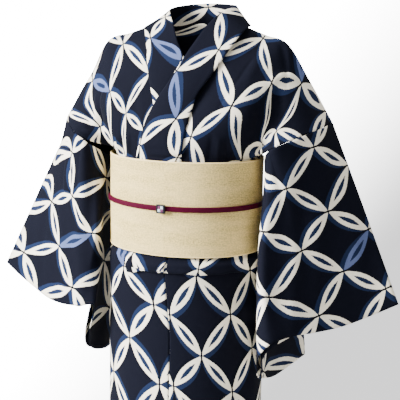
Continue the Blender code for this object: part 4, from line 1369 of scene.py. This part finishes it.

# The studio's white surroundings: soft fill on the cloth, and a bright sweep behind it, seen only by the camera,
# with painted shade where it falls off low on one side.
world = bpy.data.worlds.new("studio")
bpy.context.scene.world = world
world.use_nodes = True
sky = Nodes(world.node_tree)
fill = world.node_tree.nodes["Background"]
fill.inputs["Color"].default_value = (1.0, 1.0, 1.0, 1)
fill.inputs["Strength"].default_value = FILL_LIGHT
sweep = sky.node("ShaderNodeBackground")
toward_x, _, toward_z = sky.split(sky.node("ShaderNodeTexCoord").outputs["Generated"])
low_side = sky.math("SUBTRACT", sky.math("MULTIPLY", toward_x, 2.2), sky.math("MULTIPLY", toward_z, 1.6))
sky.feed(sweep.inputs["Color"], sky.mix(sky.step(low_side, -0.32, 0.50), SWEEP_BRIGHT, SWEEP_SHADED))
sweep.inputs["Strength"].default_value = SWEEP_LIGHT
seen = sky.node("ShaderNodeMixShader")
sky.feed(seen.inputs[0], sky.node("ShaderNodeLightPath").outputs["Is Camera Ray"])
sky.feed(seen.inputs[1], fill.outputs[0])
sky.feed(seen.inputs[2], sweep.outputs[0])
sky.feed(world.node_tree.nodes["World Output"].inputs["Surface"], seen.outputs[0])


def facing_frame(side, up, back, place):
    """The matrix whose columns are the three directions and the place."""
    rows = np.stack([side, up, back, place], 1).tolist()
    return Matrix(rows + [[0, 0, 0, 1]])


def softbox(name, place, aim, size, power):
    """A square area light at a place, turned to face its aim."""
    light = bpy.data.lights.new(name, "AREA")
    light.size, light.energy = size, power
    thing = bpy.data.objects.new(name, light)
    back = np.array(place, float) - aim
    back /= np.linalg.norm(back)
    side = np.cross([0, 0, 1], back)
    side /= np.linalg.norm(side)
    thing.matrix_world = facing_frame(side, np.cross(back, side), back, place)
    bpy.context.scene.collection.objects.link(thing)


softbox("key_softbox", (-2.5, -1.9, 0.8), (0, 0, -0.35), 1.5, 560)
softbox("top_softbox", (-0.4, -0.8, 2.2), (0, 0, -0.3), 1.4, 60)

camera = bpy.data.objects.new("camera", bpy.data.cameras.new("camera"))
camera.data.sensor_fit = "HORIZONTAL"
camera.data.sensor_width = SENSOR
camera.data.lens = FOCAL * SENSOR / FRAME
camera.matrix_world = facing_frame(CAMERA_RIGHT, CAMERA_UP, -AHEAD, CAMERA_PLACE)
bpy.context.scene.collection.objects.link(camera)
bpy.context.scene.camera = camera
